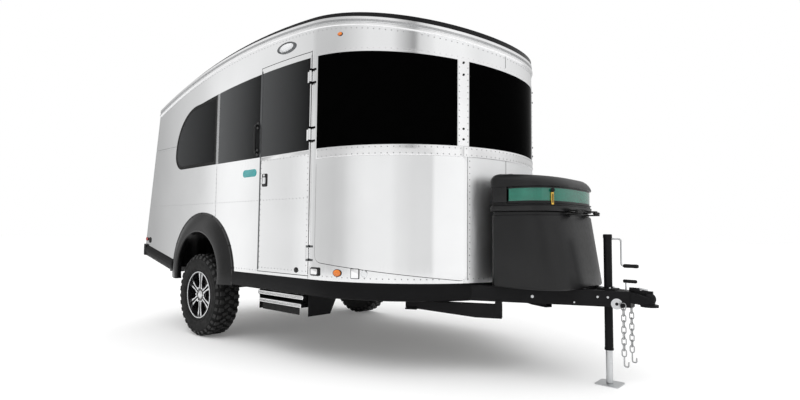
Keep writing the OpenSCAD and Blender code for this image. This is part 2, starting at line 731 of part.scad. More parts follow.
// Half of the tyre's section from the bead outwards: radius, then distance from the centre plane
tyre_half = [[bead_r, flange_z - glass_gap], [bead_r + 9, flange_z - glass_gap], [bead_r + 24, half_tyre - 10],
    [bead_r + 52, half_tyre - 2], [bead_r + 80, half_tyre], [bead_r + 110, half_tyre - 3],
    [tyre_r - 28, half_tyre - 8], [tyre_r - 12, half_tyre - 14], [tyre_r, half_tyre - 30]];

module tyre() color(black) rotate_extrude($fn = 96)
    polygon(concat([for (p = tyre_half) p], [for (i = [len(tyre_half) - 1:-1:0]) [tyre_half[i][0], -tyre_half[i][1]]]));

rim_out = bead_r - glass_gap;
rim_in = rim_out - 11;
face_z = [50, 84];
hub_pilot_r = 44;

module spoke_pair() for (s = [-1, 1]) linear_extrude(face_z[1] - 60)
    polygon([[56, s * 3], [rim_in + 4, s * 12], [rim_in + 4, s * 40], [120, s * 22], [56, s * 24]]);

module rim() color("#2a2b2e") {
    rotate_extrude($fn = 96) polygon([[rim_in, -flange_z - 8], [bead_r + 9, -flange_z - 8], [bead_r + 9, -flange_z],
        [rim_out, -flange_z], [rim_out, flange_z], [bead_r + 9, flange_z], [bead_r + 9, flange_z + 8],
        [rim_in + 3, flange_z + 8], [rim_in, flange_z - 10]]);
    difference() {
        union() {
            translate([0, 0, face_z[0]]) cylinder(r = 78, h = face_z[1] - face_z[0] - 6);
            for (i = [0:spoke_pairs - 1]) rotate([0, 0, 360 / spoke_pairs * (i + 0.5)]) translate([0, 0, 60]) spoke_pair();
        }
        translate([0, 0, 40]) cylinder(r = hub_pilot_r + glass_gap, h = 60);
    }
}

module hub() color("#4b4d50") difference() {
    union() {
        translate([0, 0, -72]) cylinder(r = 152, h = 70);
        translate([0, 0, -72]) cylinder(r = 74, h = 72 + face_z[0]);
        translate([0, 0, 40]) cylinder(r = hub_pilot_r, h = 46);
    }
    translate([0, 0, -80]) cylinder(r = spindle_r + pin_gap, h = 110);
    translate([0, 0, -80]) cylinder(r = spindle_r + 16, h = 20);
}

module tyre_curb() placed() on_wheel() tyre();
module rim_curb() placed() on_wheel() rim();
module hub_curb() placed() on_wheel() hub();
module tyre_street() placed() mirror([0, 1, 0]) on_wheel() tyre();
module rim_street() placed() mirror([0, 1, 0]) on_wheel() rim();
module hub_street() placed() mirror([0, 1, 0]) on_wheel() hub();

// Coupler: a pressed channel over the drawbar head with a ball socket below its nose
socket_x = coupler_x - 52;
socket_len = 26;

module coupler() placed() color(steel_black) difference() {
    union() {
        hull() {
            translate([drawbar_tip_x + 40, -45, rail_z + 30]) cube([8, 90, rail_h - 34]);
            translate([socket_x - 12, 0, rail_z + 22]) cylinder(r = 44, h = 46, $fn = 32);
        }
        translate([socket_x, 0, rail_z + 12]) cylinder(r = 52, h = 14);
        translate([socket_x, 0, rail_z + 60]) sphere(r = 38);
        translate([frame_head_x + 1, -9, rail_z + 60]) cube([socket_x + 20 - frame_head_x, 18, 48]);
        translate([socket_x - 116, -11, floor_z + 1]) cube([60, 22, 22]);
    }
    translate([socket_x, 0, rail_z - 1]) cylinder(r = ball_r, h = 13 + socket_len);
    translate([socket_x, 0, rail_z + 12 + socket_len - 0.01]) cylinder(r1 = ball_r, r2 = ball_r / 2, h = ball_r * 0.8);
}

jack_foot = [150, 6];
inner_tube_r = 22;
jack_base_z = 215;

module tongue_jack() placed() color(steel_black) translate([jack_x, 0, 0]) {
    translate([0, 0, jack_base_z]) cylinder(r = jack_r, h = jack_top_z - jack_base_z);
    translate([0, 0, jack_foot[1]]) cylinder(r = inner_tube_r, h = jack_base_z - jack_foot[1]);
    translate([-jack_foot[0] / 2, -jack_foot[0] / 2, 0]) cube([jack_foot[0], jack_foot[0], jack_foot[1]]);
    translate([-58, -50, floor_z]) cube([116, 100, 10]);
}

crank_z = jack_top_z - 30;
crank_drop = 170;
crank_r = 6;
crank_reach = 62;

module jack_crank() placed() color(zinc) translate([jack_x + jack_r + glass_gap, 0, crank_z]) {
    rotate([0, 90, 0]) cylinder(r = crank_r, h = crank_reach);
    translate([crank_reach - crank_r, 0, -crank_drop]) cylinder(r = crank_r, h = crank_drop + crank_r);
    translate([crank_reach - crank_r, 0, -crank_drop]) rotate([0, 90, 0]) cylinder(r = crank_r, h = 40);
    translate([crank_reach + 6, 0, -crank_drop]) rotate([0, 90, 0]) cylinder(r = 13, h = 92);
}

// Chains: rings of wire hung one through the next
link_wire = 4;
link_inner = 36;
link_w = 13;
link_count = 9;
link_play = 0.8;
chain_x = jack_x + 118;
chain_y = 76;
chain_pin_r = 6;
chain_pin_z = rail_z + 14;
chain_top_z = chain_pin_z + chain_pin_r + link_play - link_inner / 2;

// Centre line of a link with straight flanks and round ends
function link_path() = let (flank = link_inner / 2 + link_wire - link_w)
    concat(arc([0, flank], link_w, 0, 180, 4), arc([0, -flank], link_w, 180, 360, 4));

// Tube of six sides round a closed line in the xz plane
module ring_tube(path, r) {
    n = len(path);
    sides = 6;
    points = [for (i = [0:n - 1]) let (t = path[(i + 1) % n] - path[(i + n - 1) % n], u = t / norm(t))
        for (j = [0:sides - 1]) let (a = 360 * j / sides) [path[i][0] + r * cos(a) * u[1], r * sin(a),
            path[i][1] - r * cos(a) * u[0]]];
    faces = [for (i = [0:n - 1]) for (j = [0:sides - 1]) let (k = (i + 1) % n, m = (j + 1) % sides)
        [i * sides + j, k * sides + j, k * sides + m, i * sides + m]];
    polyhedron(points, faces);
}

module chains() placed() color(zinc) both_sides() for (i = [0:link_count - 1])
    translate([chain_x, -chain_y, chain_top_z - i * (link_inner - link_play)])
        rotate([0, 0, 90 * (i % 2)]) ring_tube(link_path(), link_wire);

// Tongue box: a tapered moulded tub and a crowned lid hinged along its front.
// One level of its plan with round corners, counter-clockwise from above
function plan_ring(x0, x1, half, rear_r, front_r, z) = [for (p = concat(
    arc([x1 - front_r, half - front_r], front_r, 0, 90, 6),
    arc([x0 + rear_r, half - rear_r], rear_r, 90, 180, 3),
    arc([x0 + rear_r, rear_r - half], rear_r, 180, 270, 3),
    arc([x1 - front_r, front_r - half], front_r, 270, 360, 6))) [p[0], p[1], z]];

// Skin through a stack of such levels, closed at its first and last
module loft(rings) {
    n = len(rings[0]);
    last = len(rings) - 1;
    sides = [for (i = [0:last - 1]) for (j = [0:n - 1]) let (k = (j + 1) % n)
        [i * n + j, (i + 1) * n + j, (i + 1) * n + k, i * n + k]];
    ends = [[for (j = [0:n - 1]) j], [for (j = [n - 1:-1:0]) last * n + j]];
    polyhedron([for (ring = rings) each ring], concat(sides, ends));
}

lid_gap = 6;
lid_over = 8;
lid_inset = 45;
lid_shoulder = 0.62;
lid_front_x = box_front_x - box_taper + lid_over;
lid_axis = [lid_front_x + 22, box_top_z + 2];
lid_hinge_y = [-150, 150];
lid_knuckle = hinge_len - 2 * lug_len - 2;

function tub_ring(x1, inset, z) = plan_ring(box_x + lid_over + inset, x1 - inset, box_half_w - lid_over - inset,
    box_rear_corner - inset, box_corner - inset, z);

module tongue_box() placed() color(black) {
    loft([tub_ring(box_front_x, 0, floor_z), tub_ring(box_front_x - box_taper, 0, box_top_z),
        tub_ring(box_front_x - box_taper, box_wall, box_top_z), tub_ring(box_front_x, box_wall, floor_z + box_wall)]);
    for (y = lid_hinge_y) translate([lid_axis[0], y, lid_axis[1]]) rotate([90, 0, 0]) {
        cylinder(r = pin_r, h = hinge_len, center = true);
        for (s = [-1, 1]) translate([0, 0, s * (hinge_len - lug_len) / 2 - lug_len / 2]) {
            cylinder(r = knuckle_r, h = lug_len);
            translate([lid_over * -1 - 24, -22, 0]) cube([lid_over + 24 + knuckle_r, 18, lug_len]);
        }
    }
}

function lid_ring(narrow, inset, z) = plan_ring(box_x + narrow + inset, lid_front_x - narrow - inset,
    box_half_w - narrow - inset, box_rear_corner - inset - narrow / 3, box_corner - inset - narrow / 2, z);

module box_lid() placed() color(black) {
    low = box_top_z + lid_gap;
    shoulder = box_top_z + lid_h * lid_shoulder;
    top = box_top_z + lid_h;
    loft([lid_ring(lid_inset, box_wall, top - box_wall), lid_ring(0, box_wall, shoulder - box_wall / 2),
        lid_ring(0, box_wall, low), lid_ring(0, 0, low), lid_ring(0, 0, shoulder), lid_ring(lid_inset, 0, top)]);
    for (y = lid_hinge_y) translate([lid_axis[0], y, lid_axis[1]]) rotate([90, 0, 0]) difference() {
        union() {
            cylinder(r = knuckle_r, h = lid_knuckle, center = true);
            translate([-26, lid_gap - 2, -lid_knuckle / 2]) cube([26, 40, lid_knuckle]);
        }
        cylinder(r = pin_r + pin_gap, h = lid_knuckle + 2, center = true);
    }
}

// Folding entry step. Positions are distance out from the centre line, then height, with the step folded.
step_x = door_rear_x + door_w / 2 - 50;
fold_deg = 160;
arm_vec = arm_len * [cos(fold_deg), sin(fold_deg)];
step_pin_r = 6;
step_plate = 6;
step_gap = 5;
frame_pin = [half_w - 167, sill_z - 185];
tread_pin = frame_pin + arm_vec;
lower_pin = frame_pin + [0, -30];
lower_tread_pin = lower_pin + arm_vec;
tread_out = [frame_pin[0] + 140 - tread_d, frame_pin[0] + 140];
upper_tread_z = [frame_pin[1] + 25, frame_pin[1] + 55];
lower_tread_z = [frame_pin[1] - 35, frame_pin[1] - 5];
arm_half = 13;

// Places a side plate: stage counts the layers of plates inwards from the frame's outer face
module step_side(stage) for (s = [-1, 1])
    translate([step_x + s * (step_w / 2 - step_plate / 2 - stage * (step_plate + step_gap)), 0, 0])
        rotate([90, 0, -90]) translate([0, 0, -step_plate / 2]) linear_extrude(step_plate) children();

module step_pins(at, stage) for (s = [-1, 1])
    translate([step_x + s * (step_w / 2 - step_plate / 2 - stage * (step_plate + step_gap)), -at[0], at[1]])
        rotate([0, -90 * s, 0]) cylinder(r = step_pin_r, h = step_plate * 1.5 + step_gap + 2);

module step_hole(at) translate(at) circle(step_pin_r + pin_gap, $fn = 48);

module arm_bar(from) difference() {
    translate(from) rotate(fold_deg) translate([-arm_half, -arm_half]) square([arm_len + 2 * arm_half, 2 * arm_half]);
    step_hole(from);
}

module step_frame() placed() color(steel_black) {
    step_side(0) polygon([[frame_pin[0] - 160, floor_z], [frame_pin[0] + 110, floor_z], [frame_pin[0] + 40, frame_pin[1] - 25],
        [frame_pin[0] - 40, frame_pin[1] - 25], [frame_pin[0] - 160, frame_pin[1] + 20]]);
    translate([step_x - step_w / 2, -frame_pin[0] + 154, frame_pin[1] + 60])
        cube([step_w, step_plate, floor_z - frame_pin[1] - 60]);
    step_pins(frame_pin, 0);
}

module step_arms_upper() placed() color(steel_black) {
    step_side(1) arm_bar(frame_pin);
    step_pins(tread_pin, 1);
}

module step_tread_upper() placed() color(zinc) {
    step_side(2) difference() {
        polygon([[tread_pin[0] - 22, tread_pin[1] + 18], [tread_pin[0] - 22, tread_pin[1] - 20], [lower_pin[0] - 20, lower_pin[1] - 16],
            [lower_pin[0] + 20, lower_pin[1] - 16], [tread_out[1], upper_tread_z[0]], [tread_out[1], upper_tread_z[1]]]);
        step_hole(tread_pin);
    }
    translate([step_x - tread_half(2), -tread_out[1], upper_tread_z[0]])
        cube([2 * tread_half(2), tread_d, upper_tread_z[1] - upper_tread_z[0]]);
    step_pins(lower_pin, 2);
}

function tread_half(stage) = step_w / 2 - stage * (step_plate + step_gap) - step_plate / 2;

module step_arms_lower() placed() color(steel_black) {
    step_side(3) arm_bar(lower_pin);
    step_pins(lower_tread_pin, 3);
}

module step_tread_lower() placed() color(zinc) {
    step_side(4) difference() {
        polygon([[lower_tread_pin[0] - 22, lower_tread_pin[1] + 18], [lower_tread_pin[0] - 22, lower_tread_pin[1] - 20],
            [tread_out[0], lower_tread_z[0]], [tread_out[1], lower_tread_z[0]], [tread_out[1], lower_tread_z[1]],
            [tread_out[0], lower_tread_z[1]]]);
        step_hole(lower_tread_pin);
    }
    translate([step_x - tread_half(4), -tread_out[1], lower_tread_z[0]])
        cube([2 * tread_half(4), tread_d, lower_tread_z[1] - lower_tread_z[0]]);
}

// Stabiliser legs: station, distance from the centre line (negative on the curb side), pivot height,
// direction of the folded leg seen from above, height of the bracket above the pivot
leg_rear_y = 800;
leg_front_along = 780;
leg_front_x = drawbar_tip_x - leg_front_along * cos(drawbar_deg);
leg_front_y = head_y + leg_front_along * sin(drawbar_deg);
leg_rear_z = floor_z + rise(rear_cross_x + 40) - 80;
leg_front_drop = leg_h / 2 + 21;
leg_table = [[leg_front_x, -leg_front_y, rail_z - leg_front_drop, 180 + drawbar_deg, leg_front_drop],
    [leg_front_x, leg_front_y, rail_z - leg_front_drop, 180 - drawbar_deg, leg_front_drop],
    [rear_cross_x, -leg_rear_y, leg_rear_z - 130, 0, 130],
    [rear_cross_x, leg_rear_y, leg_rear_z - 130, 0, 130]];
leg_pin_r = 8;
leg_wall = 5;
leg_heel = 22;
leg_bend = 150;
foot = [80, 120, 10];
ear_t = 8;

module leg_place(leg) translate([leg[0], leg[1], leg[2]]) rotate([0, 0, leg[3]]) children();

module leg_bracket(drop) {
    ear_y = leg_w / 2 + leg_wall;
    for (s = [-1, 1]) translate([-20, s * (ear_y + ear_t / 2) - ear_t / 2, -20]) cube([40, ear_t, drop + 24]);
    translate([-20, -ear_y - ear_t, drop - 8]) cube([40, 2 * (ear_y + ear_t), 12]);
    rotate([90, 0, 0]) cylinder(r = leg_pin_r, h = 2 * (ear_y + ear_t), center = true);
}

// Side view of a leg, deep at its pivot and shallow at its foot
function leg_side(base, over) = [[-leg_heel - over, leg_h / 2 + over], [leg_len + over, leg_h / 2 + over],
    [leg_len + over, leg_h / 2 - leg_tip_h + base], [leg_bend, base - leg_h / 2], [-leg_heel - over, base - leg_h / 2]];

module leg() color(steel_black) difference() {
    union() {
        across(-leg_w / 2, leg_w / 2) polygon(leg_side(0, 0));
        translate([leg_len - foot[0] - leg_wall, -foot[1] / 2, leg_h / 2 - leg_tip_h - foot[2]]) cube(foot);
    }
    across(leg_wall - leg_w / 2, leg_w / 2 - leg_wall) polygon(leg_side(leg_wall, 1));
    rotate([90, 0, 0]) cylinder(r = leg_pin_r + pin_gap, h = 2 * leg_w, center = true);
}

module leg_front_curb() placed() leg_place(leg_table[0]) leg();
module leg_front_street() placed() leg_place(leg_table[1]) leg();
module leg_rear_curb() placed() leg_place(leg_table[2]) leg();
module leg_rear_street() placed() leg_place(leg_table[3]) leg();

chassis();
axle();
floor();
curb_wall();
street_wall();
nose_wall();
rear_wall();
roof();
belt_front();
belt_rear();
wheel_wells();
flares();
side_glass();
nose_glass();
grab_handle();
porch_light();
marker_lamps();
tail_lamps();
door();
door_glass();
door_latch();
door_hinges();
hatch();
hatch_glass();
hatch_hinges();
vent_frame();
vent_lid();
air_conditioner();
tyre_curb();
rim_curb();
hub_curb();
tyre_street();
rim_street();
hub_street();
coupler();
tongue_jack();
jack_crank();
chains();
tongue_box();
box_lid();
step_frame();
step_arms_upper();
step_tread_upper();
step_arms_lower();
step_tread_lower();
leg_front_curb();
leg_front_street();
leg_rear_curb();
leg_rear_street();
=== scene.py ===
"""Looks of a travel caravan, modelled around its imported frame."""
import json
from math import atan2, ceil, cos, degrees, pi, radians, sin, sqrt, tan

import bmesh
import bpy
from mathutils import Matrix, Vector


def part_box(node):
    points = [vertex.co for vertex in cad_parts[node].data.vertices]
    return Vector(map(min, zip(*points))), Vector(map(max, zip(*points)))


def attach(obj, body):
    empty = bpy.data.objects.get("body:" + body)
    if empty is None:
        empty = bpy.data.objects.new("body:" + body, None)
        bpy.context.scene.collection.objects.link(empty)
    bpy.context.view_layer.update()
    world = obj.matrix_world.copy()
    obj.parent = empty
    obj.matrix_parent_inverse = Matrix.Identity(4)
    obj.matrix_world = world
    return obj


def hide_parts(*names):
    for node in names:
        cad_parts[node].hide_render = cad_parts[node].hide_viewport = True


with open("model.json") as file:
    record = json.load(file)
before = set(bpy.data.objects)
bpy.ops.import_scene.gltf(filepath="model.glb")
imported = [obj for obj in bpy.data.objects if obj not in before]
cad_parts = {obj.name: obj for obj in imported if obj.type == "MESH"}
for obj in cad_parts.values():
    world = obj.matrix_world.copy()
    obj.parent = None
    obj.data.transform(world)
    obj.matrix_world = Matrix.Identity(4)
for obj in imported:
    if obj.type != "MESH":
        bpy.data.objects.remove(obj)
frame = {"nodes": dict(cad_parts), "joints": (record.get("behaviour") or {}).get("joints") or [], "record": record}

bl_info = {
    "name": "Travel caravan",
    "version": (1, 0, 0),
    "blender": (4, 5, 0),
    "location": "View3D > Sidebar > Caravan",
    "description": "Models the skin, trim, wheels and fittings of a travel caravan",
    "category": "Object",
}

# Places taken from the frame, in metres
HINGE = {joint["name"]: Vector(joint["pos_m"]) for joint in frame["joints"]}
AXLE = HINGE["wheel_curb_spin"]
NOSE_LOW, NOSE_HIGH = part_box("nose_wall")
NOSE_X = NOSE_LOW.x
HALF = NOSE_HIGH.y
SILL = NOSE_LOW.z
WALL = 0.045
GLASS_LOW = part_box("nose_glass")[0].z - 0.0003
DOOR_LOW, DOOR_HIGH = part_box("door_glass")
TAIL_RAKE = radians(10)
TAIL = Vector((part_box("rear_wall")[0].x, 0, 0.80759))
BODY = "caravan_body"
SIDES = (-1, 1)
UP = Vector((0, 0, 1))
shift = Matrix.Translation


def from_axle(x):
    """Station in the frame of a distance forward of the axle."""
    return AXLE.x + x


# Roof line and upper edge of the windows: arcs seen from the side
ROOF_ARC = (from_axle(1.000), 2.509, 6.340)
BAND_ARC = (from_axle(1.200), 2.240, 9.500)


def arc_height(arc, x):
    peak_x, peak_z, radius = arc
    return peak_z - radius + sqrt(radius**2 - (x - peak_x) ** 2)


def middle_of(solid):
    """Centre and size of a solid's box."""
    low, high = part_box(solid)
    return (low + high) / 2, high - low


def nose_point(angle, radius):
    return Vector((NOSE_X + radius * cos(angle), radius * sin(angle), 0))


def length_property(name, description, default):
    return bpy.props.FloatProperty(name=name, description=description, default=default, unit="LENGTH")


def count_property(name, description, default, low, high):
    return bpy.props.IntProperty(name=name, description=description, default=default, min=low, max=high)


def colour_property(name, description, default):
    return bpy.props.FloatVectorProperty(
        name=name, description=description, default=default, subtype="COLOR", min=0, max=1
    )


class CaravanSizes(bpy.types.PropertyGroup):
    """Sizes that a user would change."""

    rivet: length_property("Rivet", "Radius of a rivet's head", 0.0048)
    pitch: length_property("Rivet pitch", "Distance between rivets", 0.042)
    lug_depth: length_property("Lug depth", "Height of the tyre's blocks", 0.016)
    lug_pitches: count_property("Lugs", "Tread blocks round a tyre", 32, 24, 48)
    spoke_pairs: count_property("Spoke pairs", "Pairs of spokes on a wheel", 6, 5, 8)
    trim: length_property("Trim", "How far bright trim stands out", 0.004)
    border: length_property("Pane border", "Width of the dark edge of a pane", 0.03)


class CaravanColours(bpy.types.PropertyGroup):
    """Colours that a user would change."""

    skin: colour_property("Skin", "Aluminium of the body", (0.89, 0.895, 0.90))
    trim: colour_property("Trim", "Bright trim and rivets", (0.90, 0.90, 0.905))
    black: colour_property("Black", "Mouldings, roof and wheels", (0.010, 0.010, 0.011))
    box: colour_property("Box", "Moulded tongue box", (0.013, 0.013, 0.014))
    glass: colour_property("Glass", "Tinted panes", (0.0045, 0.0046, 0.0047))
    band: colour_property("Band", "Band round the lid of the tongue box", (0.012, 0.155, 0.105))
    plate: colour_property("Plate", "Plate behind the door", (0.05, 0.33, 0.34))
    amber: colour_property("Amber", "Marker lamps", (0.78, 0.20, 0.015))
    red: colour_property("Red", "Tail lamps", (0.42, 0.012, 0.01))


def sizes():
    return bpy.context.scene.caravan_sizes


def colours():
    return bpy.context.scene.caravan_colours


# Finishes

EVEN = (1, 1, 1)
VERTICAL = (1, 1, 0.05)
SEAM_GREY = (0.16, 0.165, 0.17)
# Colour or colour property, share of it, roughness from and to, then stretch of the grain and broad waves
METALS = {
    "skin": ("skin", 1, 0.07, 0.12, VERTICAL, 0.010),
    "satin": ("skin", 1, 0.34, 0.44, VERTICAL, 0.010),
    "guard": ("skin", 1.01, 0.06, 0.11, VERTICAL, 0.03),
    "trim": ("trim", 1, 0.10, 0.20),
    # A darker copy of the bright aluminium: painted shade, so rivet heads, the gutter and the chain links show
    # grey against the skin
    "rivet": ((0.46, 0.465, 0.47), 1, 0.22, 0.36),
    "zinc": ((0.62, 0.63, 0.64), 1, 0.26, 0.42),
    "chrome": ((0.86, 0.87, 0.88), 1, 0.04, 0.10),
    "machined": ((0.72, 0.73, 0.74), 1, 0.14, 0.28, (8, 1, 8)),
    "iron": ((0.20, 0.19, 0.18), 1, 0.45, 0.65),
    "brass": ((0.72, 0.46, 0.10), 1, 0.18, 0.32),
    "seam": (SEAM_GREY, 1, 0.30, 0.45),
    "hinge": (SEAM_GREY, 1, 0.30, 0.45),
}
# Colour or colour property, share of it, roughness from and to, pebble, specular level, then other sockets
PLASTICS = {
    "roof paint": ("black", 0.5, 0.22, 0.34, 0, 0.2),
    "moulding": ("black", 0.3, 0.16, 0.24, 0.03, 0.42),
    "belt": ("black", 0.5, 0.30, 0.42, 0.06, 0.10),
    "powder coat": ("black", 0.7, 0.36, 0.50, 0.08, 0.12),
    "wheel paint": ("black", 0.8, 0.16, 0.28, 0, 0.5, {"Coat_Weight": 0.4}),
    "box plastic": ("box", 0.5, 0.32, 0.40, 0.04, 0.34),
    "grey plastic": ((0.06, 0.062, 0.066), 1, 0.40, 0.55, 0.12),
    # Tread blocks and carcass are one rubber in two tones: the blocks lighter as a painted highlight, the carcass
    # darker as painted shade
    "rubber": ((0.016, 0.016, 0.016), 1, 0.40, 0.60, 0.25, 0.45),
    "tyre wall": ((0.006, 0.006, 0.006), 1, 0.55, 0.75, 0.25, 0.25),
    "seal": ((0.008, 0.008, 0.008), 1, 0.5, 0.7, 0, 0.2),
    # The side panes' colour carries a painted sheen, light at each pane's rear end and dark at its front
    "pane": ("glass", 1, 0.03, 0.06, 0, 0.1, {"IOR": 1.05, "Alpha": 0.95}),
    "nose pane": ("glass", 0.2, 0.02, 0.05, 0, 0.1, {"IOR": 1.05, "Alpha": 0.98}),
    "pane edge": ("glass", 0.5, 0.08, 0.14, 0, 0.10),
    "band": ("band", 1, 0.10, 0.18, 0, 0.5, {"Coat_Weight": 0.5}),
    "plate": ("plate", 1, 0.16, 0.26, 0, 0.5, {"Coat_Weight": 0.3}),
    "board": ((0.24, 0.23, 0.21), 1, 0.55, 0.75, 0.2),
}
LENSES = {"amber lens": "amber", "red lens": "red", "clear lens": (0.78, 0.79, 0.80)}

# Multiples of a finish's own colour at stations along the side panes and up the door hinges; along the panes they
# paint a sheen, light at each pane's rear end and dark at its front
DIVIDER = from_axle(0.228)
PAINTED_PANE_SHEEN = (
    (from_axle(-0.70), 17.0), (DIVIDER - 0.010, 4.0), (DIVIDER + 0.010, 26.0),
    (DOOR_LOW.x - 0.030, 4.5), (DOOR_LOW.x - 0.010, 19.0), (DOOR_HIGH.x, 3.2),
)
HINGE_SHADES = ((0.50, 1.0), (GLASS_LOW - 0.05, 1.0), (GLASS_LOW, 0.04), (2.50, 0.04))
SHADES = {"pane": ("X", PAINTED_PANE_SHEEN), "hinge": ("Z", HINGE_SHADES)}


def feed(tree, value, socket):
    """Gives a socket a plain value or the output of another node."""
    if isinstance(value, bpy.types.NodeSocket):
        tree.links.new(value, socket)
    else:
        socket.default_value = value


def node(tree, kind, **inputs):
    made = tree.nodes.new("ShaderNode" + kind)
    for name, value in inputs.items():
        feed(tree, value, made.inputs[name.replace("_", " ")])
    return made


def maths(tree, operation, *values):
    made = tree.nodes.new("ShaderNodeMath")
    made.operation = operation
    for value, socket in zip(values, made.inputs):
        feed(tree, value, socket)
    return made.outputs["Value"]


def shader_of(material):
    return material.node_tree.nodes["Principled BSDF"]


def surface(name, colour, **sockets):
    """A material with one shader, its plain values on the shader's own sockets."""
    material = bpy.data.materials.new("caravan " + name)
    material.use_nodes = True
    sockets["Base_Color"] = (*colour, 1)
    for socket, value in sockets.items():
        shader_of(material).inputs[socket.replace("_", " ")].default_value = value
    return material


def noise(material, scale, stretch=EVEN, detail=3.0):
    """Output of a noise on Object coordinates."""
    tree = material.node_tree
    where = node(tree, "TexCoord").outputs["Object"]
    place = node(tree, "Mapping", Scale=stretch, Vector=where).outputs["Vector"]
    return node(tree, "TexNoise", Scale=scale, Detail=detail, Vector=place).outputs["Fac"]


def spread(material, fac, low, high):
    """Maps the middle of a noise to a range of values."""
    limits = {"From_Min": 0.3, "From_Max": 0.7, "To_Min": low, "To_Max": high}
    return node(material.node_tree, "MapRange", Value=fac, **limits).outputs["Result"]


def vary(material, colour, amount, fac):
    """Lets the base colour wander by an amount either way."""
    tree = material.node_tree
    mix = node(tree, "Mix")
    mix.data_type = "RGBA"
    feed(tree, (*[c * (1 - amount) for c in colour], 1), mix.inputs["A"])
    feed(tree, (*[min(1, c * (1 + amount)) for c in colour], 1), mix.inputs["B"])
    feed(tree, spread(material, fac, 0, 1), mix.inputs["Factor"])
    feed(tree, mix.outputs["Result"], shader_of(material).inputs["Base Color"])


def roughen(material, low, high, fac):
    feed(material.node_tree, spread(material, fac, low, high), shader_of(material).inputs["Roughness"])


def dent(material, fac, strength, distance):
    bump = node(material.node_tree, "Bump", Strength=strength, Distance=distance, Height=fac)
    feed(material.node_tree, bump.outputs["Normal"], shader_of(material).inputs["Normal"])


def shade_along(material, axis, stops):
    """Base colour as multiples of itself at stations along an axis of the frame."""
    tree = material.node_tree
    base = shader_of(material).inputs["Base Color"]
    start, end = stops[0][0], stops[-1][0]
    split = node(tree, "SeparateXYZ", Vector=node(tree, "TexCoord").outputs["Object"])
    share = node(tree, "MapRange", Value=split.outputs[axis], From_Min=start, From_Max=end)
    ramp = node(tree, "ValToRGB", Fac=share.outputs["Result"])
    elements = ramp.color_ramp.elements
    for place, _ in stops[1:-1]:
        elements.new((place - start) / (end - start))
    for element, (_, times) in zip(elements, stops):
        element.color = (*[c * times for c in base.default_value[:3]], 1)
    feed(tree, ramp.outputs["Color"], base)


def tint(colour, share=1):
    if isinstance(colour, str):
        colour = getattr(colours(), colour)
    return [c * share for c in colour]


def metal(name, colour, share, low, high, grain=EVEN, wave=0.0):
    colour = tint(colour, share)
    material = surface(name, colour, Metallic=1.0, Roughness=(low + high) / 2)
    vary(material, colour, 0.035, noise(material, 1.7))
    roughen(material, low, high, noise(material, 60, grain))
    if wave:
        dent(material, noise(material, 1.4, detail=1.0), wave, 0.01)
    return material


def plastic(name, colour, share, low, high, pebble, specular=0.5, sockets=None):
    colour = tint(colour, share)
    others = {"Roughness": (low + high) / 2, "Specular_IOR_Level": specular, **(sockets or {})}
    material = surface(name, colour, **others)
    vary(material, colour, 0.12, noise(material, 9))
    roughen(material, low, high, noise(material, 35))
    if pebble:
        dent(material, noise(material, 900, detail=1.0), pebble, 0.0004)
    return material


def lens(name, colour):
    colour = tint(colour)
    material = surface(name, colour, Roughness=0.12, Coat_Weight=0.6, Coat_Roughness=0.05)
    vary(material, colour, 0.15, noise(material, 120))
    dent(material, noise(material, 260, (1, 1, 0.1)), 0.15, 0.0008)
    return material


def finish(name):
    material = bpy.data.materials.get("caravan " + name)
    if material:
        return material
    if name in METALS:
        material = metal(name, *METALS[name])
    elif name in LENSES:
        material = lens(name, LENSES[name])
    else:
        material = plastic(name, *PLASTICS[name])
    if name in SHADES:
        shade_along(material, *SHADES[name])
    return material


SLOT_FINISH = {
    "frame_steel": "powder coat",
    "floor_board": "board",
    "skin": "skin",
    "roof_black": "roof paint",
    "moulding": "moulding",
    "well": "moulding",
    "tinted_glass": "pane",
    "black_plastic": "moulding",
    "lamp_white": "clear lens",
    "lamp_amber": "amber lens",
    "lamp_red": "red lens",
    "bright_metal": "zinc",
    "tyre": "rubber",
    "wheel_black": "wheel paint",
    "hub_iron": "iron",
    "box_plastic": "box plastic",
    "tread_metal": "powder coat",
}


# Forms


class Piece:
    """Closed forms gathered into one mesh, each with its own finish."""

    def __init__(self, name, *finishes):
        self.name = name
        self.finishes = list(finishes)
        self.bm = bmesh.new()

    def add(self, form, place=None, finish=None):
        if finish is not None:
            if finish not in self.finishes:
                self.finishes.append(finish)
            number = self.finishes.index(finish)
            for face in form.faces:
                face.material_index = number
        bmesh.ops.recalc_face_normals(form, faces=form.faces)
        mesh = bpy.data.meshes.new("form")
        form.to_mesh(mesh)
        form.free()
        if place is not None:
            mesh.transform(place)
            if place.determinant() < 0:
                mesh.flip_normals()
        self.bm.from_mesh(mesh)
        bpy.data.meshes.remove(mesh)
        return self

    def done(self, body, slot, replaces=(), sharp=32):
        if not self.bm.faces:
            raise ValueError(self.name + " has no faces")
        mesh = bpy.data.meshes.new(self.name)
        self.bm.to_mesh(mesh)
        self.bm.free()
        for name in self.finishes:
            mesh.materials.append(finish(name))
        mesh.shade_smooth()
        mesh.set_sharp_from_angle(angle=radians(sharp))
        piece = bpy.data.objects.new(self.name, mesh)
        bpy.context.scene.collection.objects.link(piece)
        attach(piece, body)
        if replaces:
            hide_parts(*replaces)
        return piece


def new_verts(result):
    return [item for item in result["geom"] if isinstance(item, bmesh.types.BMVert)]


def flat_face(outline):
    form = bmesh.new()
    form.faces.new([form.verts.new((x, y, 0)) for x, y in outline])
    return form


def soften(form, geom, offset, segments=2, affect="EDGES"):
    """Rounds edges, or the corners of a flat form."""
    bmesh.ops.bevel(
        form, geom=geom, offset=offset, offset_type="OFFSET", segments=segments, profile=0.5,
        affect=affect, clamp_overlap=affect == "EDGES", material=-1,
    )


